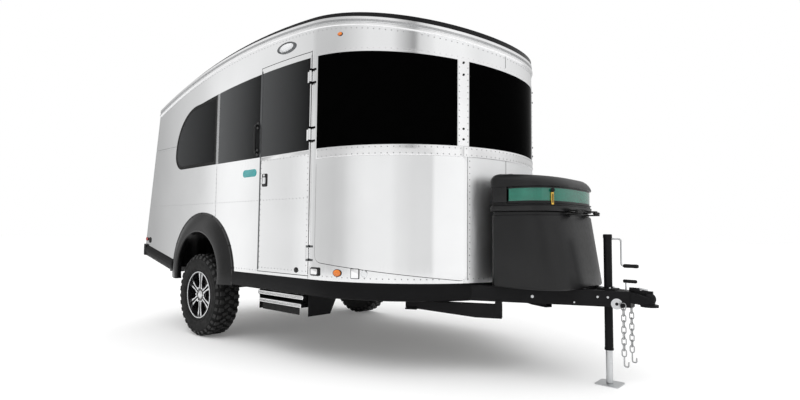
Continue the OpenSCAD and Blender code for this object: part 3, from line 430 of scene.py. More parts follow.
def thicken(form, thick):
    """Raises a flat form along local z."""
    raised = bmesh.ops.extrude_face_region(form, geom=form.faces[:], use_keep_orig=True)
    bmesh.ops.translate(form, vec=(0, 0, thick), verts=new_verts(raised))
    bmesh.ops.recalc_face_normals(form, faces=form.faces)
    return form


def plate(outline, thick, corner=0.0, edge=0.0, segments=5):
    """A flat form in local xy, its corners rounded, raised along local z."""
    form = flat_face(outline)
    if corner:
        soften(form, form.verts[:], corner, segments, "VERTICES")
    thicken(form, thick)
    if edge:
        soften(form, [e for e in form.edges if all(abs(v.co.z - thick) < 1e-6 for v in e.verts)], edge)
    return form


def rectangle(x0, y0, x1, y1):
    return [(x0, y0), (x1, y0), (x1, y1), (x0, y1)]


def centred(width, height):
    return rectangle(-width / 2, -height / 2, width / 2, height / 2)


def block(size, edge=0.0, segments=2):
    form = bmesh.new()
    bmesh.ops.create_cube(form, size=1)
    bmesh.ops.scale(form, vec=size, verts=form.verts)
    if edge:
        soften(form, form.edges[:], edge, segments)
    return form


def cone(segments, radius, top, depth):
    form = bmesh.new()
    bmesh.ops.create_cone(form, cap_ends=True, segments=segments, radius1=radius, radius2=top, depth=depth)
    return form


def turned(profile, steps=48):
    """A form turned round local z from a closed or axis-to-axis profile of radius and height."""
    form = bmesh.new()
    verts = [form.verts.new((r, 0, z)) for r, z in profile]
    edges = [form.edges.new(pair) for pair in zip(verts, verts[1:])]
    if profile[0][0] > 1e-6:
        edges.append(form.edges.new((verts[-1], verts[0])))
    bmesh.ops.spin(
        form, geom=verts + edges, cent=(0, 0, 0), axis=(0, 0, 1), angle=2 * pi, steps=steps, use_merge=True
    )
    bmesh.ops.remove_doubles(form, verts=form.verts, dist=1e-6)
    bmesh.ops.recalc_face_normals(form, faces=form.faces)
    return form


def sweep(section, stations, closed=False):
    """A closed section of (out, up) points carried along stations given as rigid matrices."""
    form = bmesh.new()
    ring = [form.verts.new(stations[0] @ Vector((x, 0, z))) for x, z in section]
    edges = [form.edges.new((a, b)) for a, b in zip(ring, ring[1:] + ring[:1])]
    first = edges
    for here, there in zip(stations, stations[1:] + (stations[:1] if closed else [])):
        grown = bmesh.ops.extrude_edge_only(form, edges=edges)
        bmesh.ops.transform(form, matrix=there @ here.inverted(), verts=new_verts(grown))
        edges = [item for item in grown["geom"] if isinstance(item, bmesh.types.BMEdge)]
        edges = [e for e in edges if len(e.link_faces) == 1]
    if closed:
        bmesh.ops.remove_doubles(form, verts=form.verts, dist=1e-6)
    else:
        bmesh.ops.contextual_create(form, geom=first)
        bmesh.ops.contextual_create(form, geom=edges)
    bmesh.ops.recalc_face_normals(form, faces=form.faces)
    return form


def rigid(at, out, along):
    """A station: local x points out, local y along the path."""
    y = along.normalized()
    x = (out - y * out.dot(y)).normalized()
    return shift(at) @ Matrix((x, y, x.cross(y))).transposed().to_4x4()


def ring(radius, count):
    return [(radius * cos(2 * pi * i / count), radius * sin(2 * pi * i / count)) for i in range(count)]


def rod(points, radius, count=10, closed=False):
    """A round bar along a line of points, its section turned as little as possible."""
    points = [Vector(p) for p in points]
    last = len(points) - 1
    stations = []
    out = None
    for i, point in enumerate(points):
        if closed:
            along = points[(i + 1) % len(points)] - points[i - 1]
        else:
            along = points[min(i + 1, last)] - points[max(i - 1, 0)]
        if out is None:
            out = along.orthogonal()
        station = rigid(point, out, along)
        out = station.to_3x3() @ Vector((1, 0, 0))
        stations.append(station)
    return sweep(ring(radius, count), stations, closed)


def bent(points, radius, steps=5):
    """A line of points whose inner corners are rounded."""
    line = [Vector(points[0])]
    for before, corner, after in zip(points, points[1:], points[2:]):
        a, c, b = Vector(before), Vector(corner), Vector(after)
        start, end = c + (a - c).normalized() * radius, c + (b - c).normalized() * radius
        for i in range(steps + 1):
            t = i / steps
            line.append(start * (1 - t) ** 2 + c * 2 * t * (1 - t) + end * t**2)
    line.append(Vector(points[-1]))
    return line


# Places on the body: local z points out of the skin, local y up


def frame_of(at, out, up=UP):
    z = out.normalized()
    y = (up - z * up.dot(z)).normalized()
    return shift(at) @ Matrix((y.cross(z), y, z)).transposed().to_4x4()


def on_side(x, z, side=-1):
    return frame_of(Vector((x, side * HALF, z)), Vector((0, side, 0)))


def on_nose(angle, z):
    return frame_of(nose_point(angle, HALF) + UP * z, nose_point(angle, 1) - nose_point(0, 0))


def on_tail(y, up):
    lean = Vector((sin(TAIL_RAKE), 0, cos(TAIL_RAKE)))
    return frame_of(TAIL + Vector((0, y, 0)) + lean * up, Vector((-cos(TAIL_RAKE), 0, sin(TAIL_RAKE))), lean)


def wrap(form, step=radians(2)):
    """Lays a flat form round the nose: local x is arc from straight ahead, y height, z out of the skin."""
    reach = max(abs(v.co.x) for v in form.verts)
    count = ceil(reach / (step * HALF))
    for i in range(-count, count + 1):
        geom = form.verts[:] + form.edges[:] + form.faces[:]
        bmesh.ops.bisect_plane(form, geom=geom, plane_co=(i * step * HALF, 0, 0), plane_no=(1, 0, 0))
    for vert in form.verts:
        arc, height, out = vert.co
        vert.co = nose_point(arc / HALF, HALF + out) + UP * height
    return form


def rivet(piece, place):
    size = sizes().rivet
    piece.add(cone(8, size, size * 0.5, size * 0.5), place @ shift((0, 0, size * 0.25)), "rivet")


def steps_between(start, end, pitch):
    count = max(1, round(abs(end - start) / pitch))
    return [start + (end - start) * i / count for i in range(count + 1)]


def rivets_along_side(piece, start, end, side=-1):
    """Rivets between two (x, z) points of a side wall."""
    (x0, z0), (x1, z1) = start, end
    count = max(1, round(sqrt((x1 - x0) ** 2 + (z1 - z0) ** 2) / sizes().pitch))
    for i in range(count + 1):
        t = i / count
        rivet(piece, on_side(x0 + (x1 - x0) * t, z0 + (z1 - z0) * t, side))


def rivets_round_nose(piece, start, end, height, lift=0.0):
    """Rivets between two angles; height is a function of the angle."""
    for angle in steps_between(start, end, sizes().pitch / HALF):
        rivet(piece, on_nose(angle, height(angle)) @ shift((0, 0, lift)))


def level(z):
    return lambda angle: z


def nose_arc(arc, rise=0.0):
    """Height of an arc on the nose as a function of the angle."""
    return lambda angle: arc_height(arc, NOSE_X + HALF * cos(angle)) + rise


nose_roof = nose_arc(ROOF_ARC)
nose_band = nose_arc(BAND_ARC)


def station(at, out):
    """A station of an upright section: local x points out, local y along the path."""
    x = out.normalized()
    return shift(at) @ Matrix((x, UP.cross(x), UP)).transposed().to_4x4()


def round_body(start, gap, step, turn, height):
    """Stations along the curb side, round the nose and back along the street side; height depends on x."""
    line = [(Vector((x, -HALF, 0)), Vector((0, -1, 0))) for x in steps_between(start, NOSE_X - gap, step)]
    for angle in steps_between(-pi / 2, pi / 2, turn):
        at = nose_point(angle, HALF)
        line.append((at, at - Vector((NOSE_X, 0, 0))))
    line += [(Vector((x, HALF, 0)), Vector((0, 1, 0))) for x in steps_between(NOSE_X - gap, start, step)]
    return [station(at + UP * height(at.x), out) for at, out in line]


POST = radians(28)
POST_HALF = 0.045 / HALF
PANE_END = radians(87)
NOSE_PANES = [
    (-PANE_END, -POST - POST_HALF),
    (-POST + POST_HALF, POST - POST_HALF),
    (POST + POST_HALF, PANE_END),
]
NOSE_BAYS = ((-PANE_END, -POST), (-POST, POST), (POST, PANE_END))
TRIM_BAR_LOW = 1.476
PANE_GAP = 0.002
# Rows of rivets: along the sides at mid height, above the belt and below the roof's edge
MID_ROW = 1.20
BELT_ROW = SILL + 0.028
EAVE_DROP = 0.062


def nose_sheet(angles, heights, thick, keep):
    """A curved wall: one column of faces per angle step, one row per pair of heights."""
    form = bmesh.new()
    bmesh.ops.create_grid(form, x_segments=len(angles) - 1, y_segments=len(heights) - 1, size=1)
    form.verts.ensure_lookup_table()
    ordered = sorted(form.verts, key=lambda v: (round(v.co.y, 6), v.co.x))
    cells = {}
    for i, vert in enumerate(ordered):
        cells[vert] = divmod(i, len(angles))
    gone = []
    for face in form.faces:
        row = min(cells[v][0] for v in face.verts)
        column = min(cells[v][1] for v in face.verts)
        if not keep(row, (angles[column] + angles[column + 1]) / 2):
            gone.append(face)
    for vert, (row, column) in cells.items():
        angle = angles[column]
        vert.co = nose_point(angle, HALF) + UP * heights[row](angle)
    bmesh.ops.delete(form, geom=gone, context="FACES")
    bmesh.ops.recalc_face_normals(form, faces=form.faces)
    for face in form.faces:
        outward = face.calc_center_median() - Vector((NOSE_X, 0, face.calc_center_median().z))
        if face.normal.dot(outward) < 0:
            face.normal_flip()
    bmesh.ops.solidify(form, geom=form.faces[:], thickness=thick)
    return form


def fine_angles(*stops):
    """Angles between the stops in steps of about two degrees, the stops included."""
    angles = [stops[0]]
    for a, b in zip(stops, stops[1:]):
        angles += steps_between(a, b, radians(2))[1:]
    return angles


class CARAVAN_OT_solids(bpy.types.Operator):
    """Gives each solid of the frame the finish of its material slot"""

    bl_idname = "caravan.solids"
    bl_label = "Finish solids"

    def execute(self, context):
        slots = {part["node"]: part["material_slot"] for part in frame["record"]["subparts"]}
        for node, solid in frame["nodes"].items():
            material = finish(SLOT_FINISH[slots[node]])
            if not solid.data.materials:
                solid.data.materials.append(material)
            for i in range(len(solid.data.materials)):
                solid.data.materials[i] = material
        for node in ("vent_frame", "vent_lid", "air_conditioner"):
            frame["nodes"][node].data.materials[0] = finish("grey plastic")
        frame["nodes"]["door_hinges"].data.materials[0] = finish("hinge")
        frame["nodes"]["belt_rear"].data.materials[0] = finish("belt")
        return {"FINISHED"}


class CARAVAN_OT_nose(bpy.types.Operator):
    """Models the half-round nose wall and its panes"""

    bl_idname = "caravan.nose"
    bl_label = "Nose"

    def execute(self, context):
        stops = [-pi / 2] + [angle for pane in NOSE_PANES for angle in pane] + [pi / 2]

        def solid(row, angle):
            return row != 1 or not any(a < angle < b for a, b in NOSE_PANES)

        heights = [level(SILL), level(GLASS_LOW), nose_band, nose_roof]
        wall = Piece("nose_skin", "skin", "satin")
        form = nose_sheet(fine_angles(*stops), heights, WALL, solid)
        for face in form.faces:
            centre = face.calc_center_median()
            middle = abs(atan2(centre.y, centre.x - NOSE_X)) < POST and centre.z < GLASS_LOW
            face.material_index = 1 if middle else 0
        wall.add(form)
        wall.done(BODY, "skin", ["nose_wall"])

        panes = Piece("nose_panes")
        seat = shift((NOSE_X * 0.006, 0, 0)) @ Matrix.Diagonal((0.994, 0.994, 1, 1))
        for start, end in NOSE_PANES:
            for gap, thick, place, kind in (
                (PANE_GAP, 0.006, None, "nose pane"),
                (-PANE_GAP, 0.004, seat, "seal"),
            ):
                angles = fine_angles(start + gap / HALF, end - gap / HALF)
                heights = [level(GLASS_LOW + gap), nose_arc(BAND_ARC, -gap)]
                panes.add(nose_sheet(angles, heights, thick, lambda row, angle: True), place, kind)
        panes.done(BODY, "tinted_glass", ["nose_glass"])
        return {"FINISHED"}


class CARAVAN_OT_roof_edge(bpy.types.Operator):
    """Models the gutter and the bright drip rail round the roof"""

    bl_idname = "caravan.roof_edge"
    bl_label = "Roof edge"

    def execute(self, context):
        line = round_body(TAIL.x + 0.25, 0.06, 0.12, radians(2.5), lambda x: arc_height(ROOF_ARC, x))
        rail = Piece("drip_rail")
        lip = [
            (-0.004, -0.046), (0.006, -0.046), (0.011, -0.040),
            (0.011, -0.026), (0.005, -0.021), (-0.004, -0.021),
        ]
        gutter = [(-0.004, -0.012), (0.004, -0.012), (0.007, 0.000), (-0.004, 0.000)]
        cap = [(-0.004, 0.001), (0.006, 0.001), (0.006, 0.019), (0.003, 0.022), (-0.004, 0.022)]
        for section, kind in ((lip, "trim"), (gutter, "rivet"), (cap, "trim")):
            rail.add(sweep(section, line), None, kind)
        rail.done(BODY, "bright_metal")
        return {"FINISHED"}


class CARAVAN_OT_nose_trim(bpy.types.Operator):
    """Models the stone guards, trim bar, posts and joints of the nose"""

    bl_idname = "caravan.nose_trim"
    bl_label = "Nose trim"

    def execute(self, context):
        self.guards()
        self.bars()
        return {"FINISHED"}

    def guards(self):
        """Each guard lies on a dark sheet that shows as a line below it and at its outer edge."""
        outer, inner, line = radians(86.6), radians(26.6), 0.004
        high, low, inner_low = TRIM_BAR_LOW - 0.004, 0.742, 0.630
        guard = Piece("stone_guards")
        for s in SIDES:
            for grow, thick, corner, kind in ((line, 0.0012, 0.055, "seal"), (0.0, 0.003, 0.05, "guard")):
                edge = outer + grow / HALF
                corners = [(inner, inner_low - grow), (inner, high), (edge, high), (edge, low - grow)]
                outline = [(s * angle * HALF, z) for angle, z in corners]
                guard.add(wrap(plate(outline[::-s], thick, corner)), None, kind)
        guard.done(BODY, "skin")

    def bars(self):
        out = sizes().trim
        bar = Piece("window_trim")
        for start, end in NOSE_BAYS:
            flat = rectangle(start * HALF + 0.002, TRIM_BAR_LOW, end * HALF - 0.002, GLASS_LOW - 0.002)
            bar.add(wrap(plate(flat, out + 0.002, 0, 0.003)), None, "trim")
        for angle in (-POST, POST):
            left, right = (angle - POST_HALF) * HALF + 0.003, (angle + POST_HALF) * HALF - 0.003
            post = rectangle(left, GLASS_LOW, right, nose_band(angle))
            bar.add(wrap(plate(post, out, 0, 0.002)), None, "trim")
            for z in (0.047, 0.120, 0.500, 0.585):
                head = turned([(0, 0.007), (0.006, 0.006), (0.008, 0.003), (0.008, 0), (0, 0)], 12)
                bar.add(head, on_nose(angle, GLASS_LOW + z) @ shift((0, 0, out)), "seal")
        joint, edge = radians(-7), radians(26.2)
        for angle, half, low, high, thick in (
            (joint, 0.002, SILL + 0.03, TRIM_BAR_LOW, 0.0006),
            (joint, 0.002, nose_band(joint) + 0.01, nose_roof(joint) - 0.05, 0.0006),
            (-edge, 0.0015, SILL + 0.02, TRIM_BAR_LOW, 0.0008),
            (edge, 0.0015, SILL + 0.02, TRIM_BAR_LOW, 0.0008),
        ):
            flat = rectangle(angle * HALF - half, low, angle * HALF + half, high)
            bar.add(wrap(plate(flat, thick)), None, "seam")
        angles = steps_between(-PANE_END, PANE_END, radians(3))
        top = [(a * HALF, nose_band(a) + 0.012) for a in angles]
        top += [(a * HALF, nose_band(a) + 0.030) for a in reversed(angles)]
        bar.add(wrap(plate(top, 0.002)), None, "trim")
        bar.done(BODY, "bright_metal")


class CARAVAN_OT_rivets(bpy.types.Operator):
    """Sets rows of rivets along seams, windows and edges"""

    bl_idname = "caravan.rivets"
    bl_label = "Rivets"

    def execute(self, context):
        nose = Piece("nose_rivets")
        for height in (nose_arc(BAND_ARC, 0.021), nose_arc(ROOF_ARC, -EAVE_DROP), level(BELT_ROW)):
            rivets_round_nose(nose, -PANE_END, PANE_END, height)
        for z in (1.490, 1.534):
            for start, end in NOSE_BAYS:
                rivets_round_nose(nose, start + 0.02, end - 0.02, level(z), sizes().trim + 0.002)
        for s in SIDES:
            for z in steps_between(SILL + 0.06, 1.45, sizes().pitch):
                rivet(nose, on_nose(s * radians(25.3), z))
            for z in steps_between(GLASS_LOW + 0.03, 2.10, sizes().pitch):
                for edge in (-0.033, 0.033):
                    rivet(nose, on_nose(s * POST + edge / HALF, z) @ shift((0, 0, sizes().trim)))
        nose.done(BODY, "bright_metal")

        sides = Piece("side_rivets")
        for side in SIDES:
            front = from_axle(0.88) if side < 0 else NOSE_X - 0.02
            for start, end in (
                ((from_axle(-1.05), MID_ROW), (front, MID_ROW)),
                ((from_axle(0.60), BELT_ROW), (front, BELT_ROW)),
                ((from_axle(0.22), 1.50), (from_axle(0.22), 1.01)),
                ((from_axle(-0.60), 1.77), (from_axle(-1.03), 1.77)),
            ):
                rivets_along_side(sides, start, end, side)
            for x in steps_between(from_axle(-0.90), NOSE_X, sizes().pitch):
                rivet(sides, on_side(x, arc_height(ROOF_ARC, x) - EAVE_DROP, side))
            for z in steps_between(0.86, 2.02, sizes().pitch):
                rivet(sides, on_side(TAIL.x + (z - TAIL.z) * tan(TAIL_RAKE) + 0.025, z, side))
            for x0, z0, x1, z1, kind in (
                (from_axle(-1.02), 1.79, from_axle(-0.56), 1.7925, "seam"),
                (from_axle(0.2265), 1.01, from_axle(0.229), 1.53, "rivet"),
            ):
                flat = rectangle(0, 0, x1 - x0, z1 - z0)
                place = on_side(x0 if side < 0 else x1, z0, side)
                sides.add(plate(flat, 0.0008), place, kind)
        sides.done(BODY, "bright_metal")

        door = Piece("door_rivets")
        rear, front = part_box("door")[0].x + 0.02, DOOR_HIGH.x - 0.01
        for z in (0.668, MID_ROW, 1.515):
            rivets_along_side(door, (rear, z), (front, z))
        for x in (rear, front):
            rivets_along_side(door, (x, 0.71), (x, 1.50))
        door.done("entry_door", "bright_metal")

        tail = Piece("tail_rivets")
        for s in SIDES:
            for y, low, high in ((HALF - WALL - 0.012, 0.06, 1.34), (0.755, 0.10, 1.30)):
                for up in steps_between(low, high, sizes().pitch):
                    rivet(tail, on_tail(s * y, up))
        tail.done(BODY, "bright_metal")
        return {"FINISHED"}


def band_outline(x0, x1):
    """Outline of a straight-sided pane under the window band's arc, from its lower corner."""
    top = [(x, arc_height(BAND_ARC, x)) for x in steps_between(x1, x0, 0.15)]
    return [(x0, GLASS_LOW), (x1, GLASS_LOW)] + top


def tail_pane_form(x1):
    """The rear pane with its two round corners."""
    rear = from_axle(-0.585)
    round_low = 0.140
    round_high = arc_height(BAND_ARC, rear + 0.450) - GLASS_LOW - round_low
    top = [(x, arc_height(BAND_ARC, x)) for x in steps_between(x1, rear + round_high + 0.02, 0.1)]
    corner = (rear, GLASS_LOW + round_low + round_high)
    form = flat_face([(rear, GLASS_LOW), (x1, GLASS_LOW)] + top + [corner])
    verts = form.verts[:]
    for corner, radius in ((verts[0], round_low), (verts[-1], round_high)):
        soften(form, [corner], radius, 14, "VERTICES")
    return form


def border(form, width, thick):
    """Keeps a band along the edge of a flat face and gives it thickness."""
    inner = bmesh.ops.inset_region(
        form, faces=form.faces[:], thickness=width, use_even_offset=True, use_boundary=True
    )
    kept = set(inner["faces"])
    bmesh.ops.delete(form, geom=[f for f in form.faces if f not in kept], context="FACES")
    return thicken(form, thick)


def side_place(side):
    """Carries a side view drawn in (x, z) to a side wall."""
    out = Vector((0, side, 0))
    place = Matrix((Vector((1, 0, 0)), UP, out)).transposed().to_4x4()
    return shift((0, side * HALF, 0)) @ place


class CARAVAN_OT_pane_borders(bpy.types.Operator):
    """Models the dark edges and seals of the side and door panes"""

    bl_idname = "caravan.pane_borders"
    bl_label = "Pane borders"

    def execute(self, context):
        width, thick = sizes().border, 0.0007
        mid_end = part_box("door")[0].x - 0.013
        edges = Piece("pane_borders")
        for side in SIDES:
            place = side_place(side)
            edges.add(border(tail_pane_form(DIVIDER - 0.0225), width, thick), place, "pane edge")
            outline = band_outline(DIVIDER + 0.0225, mid_end)
            edges.add(border(flat_face(outline), width * 1.4, thick), place, "pane edge")
            strip = rectangle(DIVIDER - 0.020, GLASS_LOW, DIVIDER + 0.020, arc_height(BAND_ARC, DIVIDER))
            edges.add(plate(strip, 0.003, 0, 0.0015), place, "rivet")
            strip = rectangle(mid_end + 0.001, GLASS_LOW, mid_end + 0.011, arc_height(BAND_ARC, mid_end))
            edges.add(plate(strip, 0.002, 0, 0.0008), place, "seam")
        front = band_outline(mid_end + 0.022, NOSE_X - 0.020)
        edges.add(border(flat_face(front), width, thick), side_place(1), "pane edge")
        edges.done(BODY, "tinted_glass")
        door = Piece("door_pane_border")
        outline = band_outline(DOOR_LOW.x, DOOR_HIGH.x)
        door.add(border(flat_face(outline), width, thick), side_place(-1), "pane edge")
        door.done("entry_door", "tinted_glass")
        return {"FINISHED"}


class CARAVAN_OT_door_fittings(bpy.types.Operator):
    """Models the latch, frame strips and hold catch of the entry door"""

    bl_idname = "caravan.door_fittings"
    bl_label = "Door fittings"

    def execute(self, context):
        centre, size = middle_of("door_latch")
        place, face = on_side(centre.x, centre.z), size.y * 0.55
        latch = Piece("door_latch_set")
        latch.add(plate(centred(size.x, size.z), face, 0.012, 0.004), place, "moulding")
        paddle = plate(rectangle(-0.021, -0.030, 0.021, 0.022), size.y * 0.38, 0.008, 0.003)
        latch.add(paddle, place @ shift((0, 0, face)), "chrome")
        lock = turned([(0, 0.004), (0.008, 0.004), (0.010, 0.002), (0.010, 0), (0, 0)], 20)
        latch.add(lock, place @ shift((0, 0.038, face)), "chrome")
        latch.done("entry_door", "black_plastic", ["door_latch"])

        trim = Piece("door_strips")
        door_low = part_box("door")[0]
        front = DOOR_HIGH.x + 0.014
        rear, foot, top = door_low.x + 0.001, door_low.z + 0.01, arc_height(BAND_ARC, door_low.x) + 0.02
        band_low = GLASS_LOW - 0.030
        for flat, thick, edge, kind in (
            (rectangle(rear, foot, rear + 0.010, top), 0.003, 0.001, "seam"),
            (rectangle(front - 0.013, foot, front - 0.001, top), 0.003, 0.001, "trim"),
            (rectangle(rear + 0.011, band_low, front - 0.014, band_low + 0.024), 0.004, 0.0015, "trim"),
        ):
            trim.add(plate(flat, thick, 0, edge), side_place(-1), kind)
        catch = turned([(0, 0.010), (0.014, 0.010), (0.019, 0.006), (0.021, 0), (0, 0)], 24)
        trim.add(catch, on_side(from_axle(1.413), 0.672), "moulding")
        trim.done("entry_door", "bright_metal")

        wall = Piece("door_frame_strips")
        for x0, x1, kind in ((front + 0.003, front + 0.007, "seal"), (front + 0.008, front + 0.020, "trim")):
            flat = rectangle(x0, SILL + 0.004, x1, arc_height(BAND_ARC, x0) + 0.05)
            wall.add(plate(flat, 0.003, 0, 0.001), side_place(-1), kind)
        wall.done(BODY, "bright_metal")
        return {"FINISHED"}


class CARAVAN_OT_lamps(bpy.types.Operator):
    """Models the porch light, the marker lamps and the tail lamps"""

    bl_idname = "caravan.lamps"
    bl_label = "Lamps"

    def execute(self, context):
        centre, size = middle_of("porch_light")
        place = on_side(centre.x, centre.z) @ Matrix.Diagonal((size.x / 2, size.z / 2, 1, 1))
        porch = Piece("porch_light_set")
        bezel = [(0.80, 0), (1, 0), (1, 0.006), (0.97, 0.011), (0.90, 0.013), (0.84, 0.010), (0.80, 0.004)]
        porch.add(turned(bezel, 56), place, "seam")
        dome = [(0, 0.019), (0.45, 0.0175), (0.66, 0.013), (0.78, 0.006), (0.78, 0), (0, 0)]
        porch.add(turned(dome, 56), place, "clear lens")
        porch.done(BODY, "lamp_white", ["porch_light"], 40)

        markers = Piece("marker_lamp_set")
        for s in SIDES:
            for angle, z, radius, wide in ((76, 2.352, 0.014, 1.5), (75.5, 0.672, 0.026, 1.35)):
                place = on_nose(s * radians(angle), z) @ Matrix.Diagonal((wide, 1, 1, 1))
                base = [(0, 0.004), (radius, 0.004), (radius, 0), (0, 0)]
                markers.add(turned(base, 28), place, "seal")
                dome = ((0, 0.0135), (0.5, 0.012), (0.85, 0.007), (0.88, 0.003), (0, 0.003))
                cap = [(radius * share, out) for share, out in dome]
                markers.add(turned(cap, 28), place, "amber lens")
        markers.done(BODY, "lamp_amber", ["marker_lamps"], 40)

        tails = Piece("tail_lamp_set")
        for s in SIDES:
            back = on_tail(s * (HALF - WALL - 0.030 - 0.035), 0.190)
            side = on_side(TAIL.x + 0.034, 0.858, s)
            for place, size, thick, corner, edge, kind in (
                (back, (0.070, 0.260), 0.006, 0.012, 0.002, "trim"),
                (back @ shift((0, 0.062, 0.006)), (0.056, 0.105), 0.008, 0.010, 0.004, "red lens"),
                (back @ shift((0, -0.030, 0.006)), (0.056, 0.060), 0.008, 0.010, 0.004, "clear lens"),
                (back @ shift((0, -0.090, 0.006)), (0.056, 0.050), 0.008, 0.010, 0.004, "red lens"),
                (side, (0.050, 0.036), 0.004, 0.013, 0.001, "seal"),
                (side, (0.044, 0.030), 0.009, 0.010, 0.003, "red lens"),
            ):
                tails.add(plate(centred(*size), thick, corner, edge), place, kind)
        tails.done(BODY, "lamp_red", ["tail_lamps"])
        return {"FINISHED"}


class CARAVAN_OT_side_fittings(bpy.types.Operator):
    """Models the grab handle, the plate and the service fittings"""

    bl_idname = "caravan.side_fittings"
    bl_label = "Side fittings"

    def execute(self, context):
        low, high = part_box("grab_handle")
        x, out = (low.x + high.x) / 2, low.y + 0.011
        foot, head = low.z + 0.011, high.z - 0.011
        points = [(x, -HALF, foot), (x, out, foot), (x, out, head), (x, -HALF, head)]
        handle = Piece("grab_bar")
        handle.add(rod(bent(points, 0.020), 0.0105, 14), None, "moulding")
        for z in (low.z + 0.012, high.z - 0.012):
            handle.add(plate(centred(0.044, 0.060), 0.007, 0.018, 0.003), on_side(x, z), "moulding")
        handle.done(BODY, "black_plastic", ["grab_handle"], 40)

        badge = Piece("blank_plate", "plate")
        badge.add(plate(centred(0.200, 0.062), 0.002, 0.030, 0.0008, 8), on_side(from_axle(0.761), 1.430))
        badge.done(BODY, "skin")

        service = Piece("service_fittings")
        z = 0.673
        corner, vent = on_nose(radians(-86.2), z), on_nose(radians(-68.1), z)
        street = on_side(from_axle(-0.30), 1.30, 1)
        tiles = [
            (corner, (0.086, 0.060), 0.010, 0.010, 0.003, "moulding"),
            (corner @ shift((0, 0, 0.010)), (0.062, 0.040), 0.008, 0.008, 0.003, "trim"),
            (vent, (0.064, 0.070), 0.004, 0.006, 0.001, "seal"),
            (vent, (0.056, 0.062), 0.007, 0.006, 0.002, "trim"),
            (street, (0.42, 0.30), 0.004, 0.02, 0.001, "trim"),
            (street, (0.38, 0.26), 0.007, 0.015, 0.002, "moulding"),
        ]
        for x, z_street, tall in ((0.95, 0.98, 0.13), (1.20, 0.98, 0.13), (-0.86, 1.2, 0.30)):
            place = on_side(from_axle(x), z_street, 1)
            tiles.append((place, (tall, tall), 0.005, 0.014, 0.002, "trim"))
            tiles.append((place, (tall * 0.8, tall * 0.8), 0.008, 0.012, 0.002, "moulding"))
        for place, size, thick, radius, edge, kind in tiles:
            service.add(plate(centred(*size), thick, radius, edge), place, kind)
        plug = plate(centred(0.050, 0.060), 0.005, 0.024, 0.002, 8)
        service.add(plug, on_side(TAIL.x + 0.105, 0.848), "seal")
        inlet = [
            (0, 0.006), (0.016, 0.006), (0.018, 0.012), (0.024, 0.012), (0.027, 0.004), (0.027, 0), (0, 0),
        ]
        service.add(turned(inlet, 28), on_nose(radians(-64.6), z), "chrome")
        service.done(BODY, "black_plastic")
        return {"FINISHED"}


BELT_SECTION = [
    (-0.034, 0.002), (-0.016, 0.000), (0.006, 0.009), (0.0135, 0.024), (0.0175, 0.045), (0.018, 0.062),
    (0.0175, 0.078), (0.0150, 0.092), (0.0152, 0.097), (0.0100, 0.108), (0.003, 0.1185), (-0.034, 0.1185),
]
# Section of a wheel arch flare: radius from the arch's centre and distance out of the wall
FLARE_SECTION = [
    (0.375, 0.004), (0.375, 0.0435), (0.378, 0.0505), (0.385, 0.0545), (0.397, 0.0555), (0.415, 0.054),
    (0.437, 0.0505), (0.460, 0.0445), (0.483, 0.0365), (0.503, 0.0275), (0.521, 0.0185), (0.535, 0.0115),
    (0.5385, 0.0095), (0.542, 0.0105), (0.553, 0.0095), (0.555, 0.007), (0.555, 0.0), (0.405, 0.0),
]


class CARAVAN_OT_belt(bpy.types.Operator):
    """Models the black belt moulding round the nose and the wheel arch flares"""

    bl_idname = "caravan.belt"
    bl_label = "Belt and flares"

    def execute(self, context):
        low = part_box("belt_front")[0]
        belt = Piece("belt", "belt")
        belt.add(sweep(BELT_SECTION, round_body(low.x, 0.01, 0.3, radians(2), lambda x: low.z)))
        belt.done(BODY, "moulding", ["belt_front"], 40)

        arch = Vector((AXLE.x, 0, 0.565))
        flares = Piece("arch_flares")
        for s in SIDES:
            form = turned(FLARE_SECTION, 128)
            place = frame_of(arch + Vector((0, s * HALF, 0)), Vector((0, s, 0)))
            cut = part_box("flares")[0].z - arch.z
            geom = form.verts[:] + form.edges[:] + form.faces[:]
            bmesh.ops.bisect_plane(
                form, geom=geom, plane_co=(0, cut, 0), plane_no=(0, -1, 0), clear_outer=True
            )
            bmesh.ops.holes_fill(form, edges=[e for e in form.edges if e.is_boundary])
            flares.add(form, place, "moulding")
            for i in range(9):
                angle = radians(8 + 164 * i / 8)
                at = shift((0.547 * cos(angle), 0.547 * sin(angle), 0.009))
                head = turned([(0, 0.004), (0.006, 0.003), (0.008, 0), (0, 0)], 10)
                flares.add(head, place @ at, "seal")
        flares.done(BODY, "moulding", ["flares"], 28)
        return {"FINISHED"}


def wheel_place(side):
    """Local z points out of the wheel's face."""
    return frame_of(Vector((AXLE.x, side * abs(AXLE.y), AXLE.z)), Vector((0, side, 0)))


TYRE_RADIUS = 0.370
TYRE_HALF = 0.1175
BEAD = 0.205


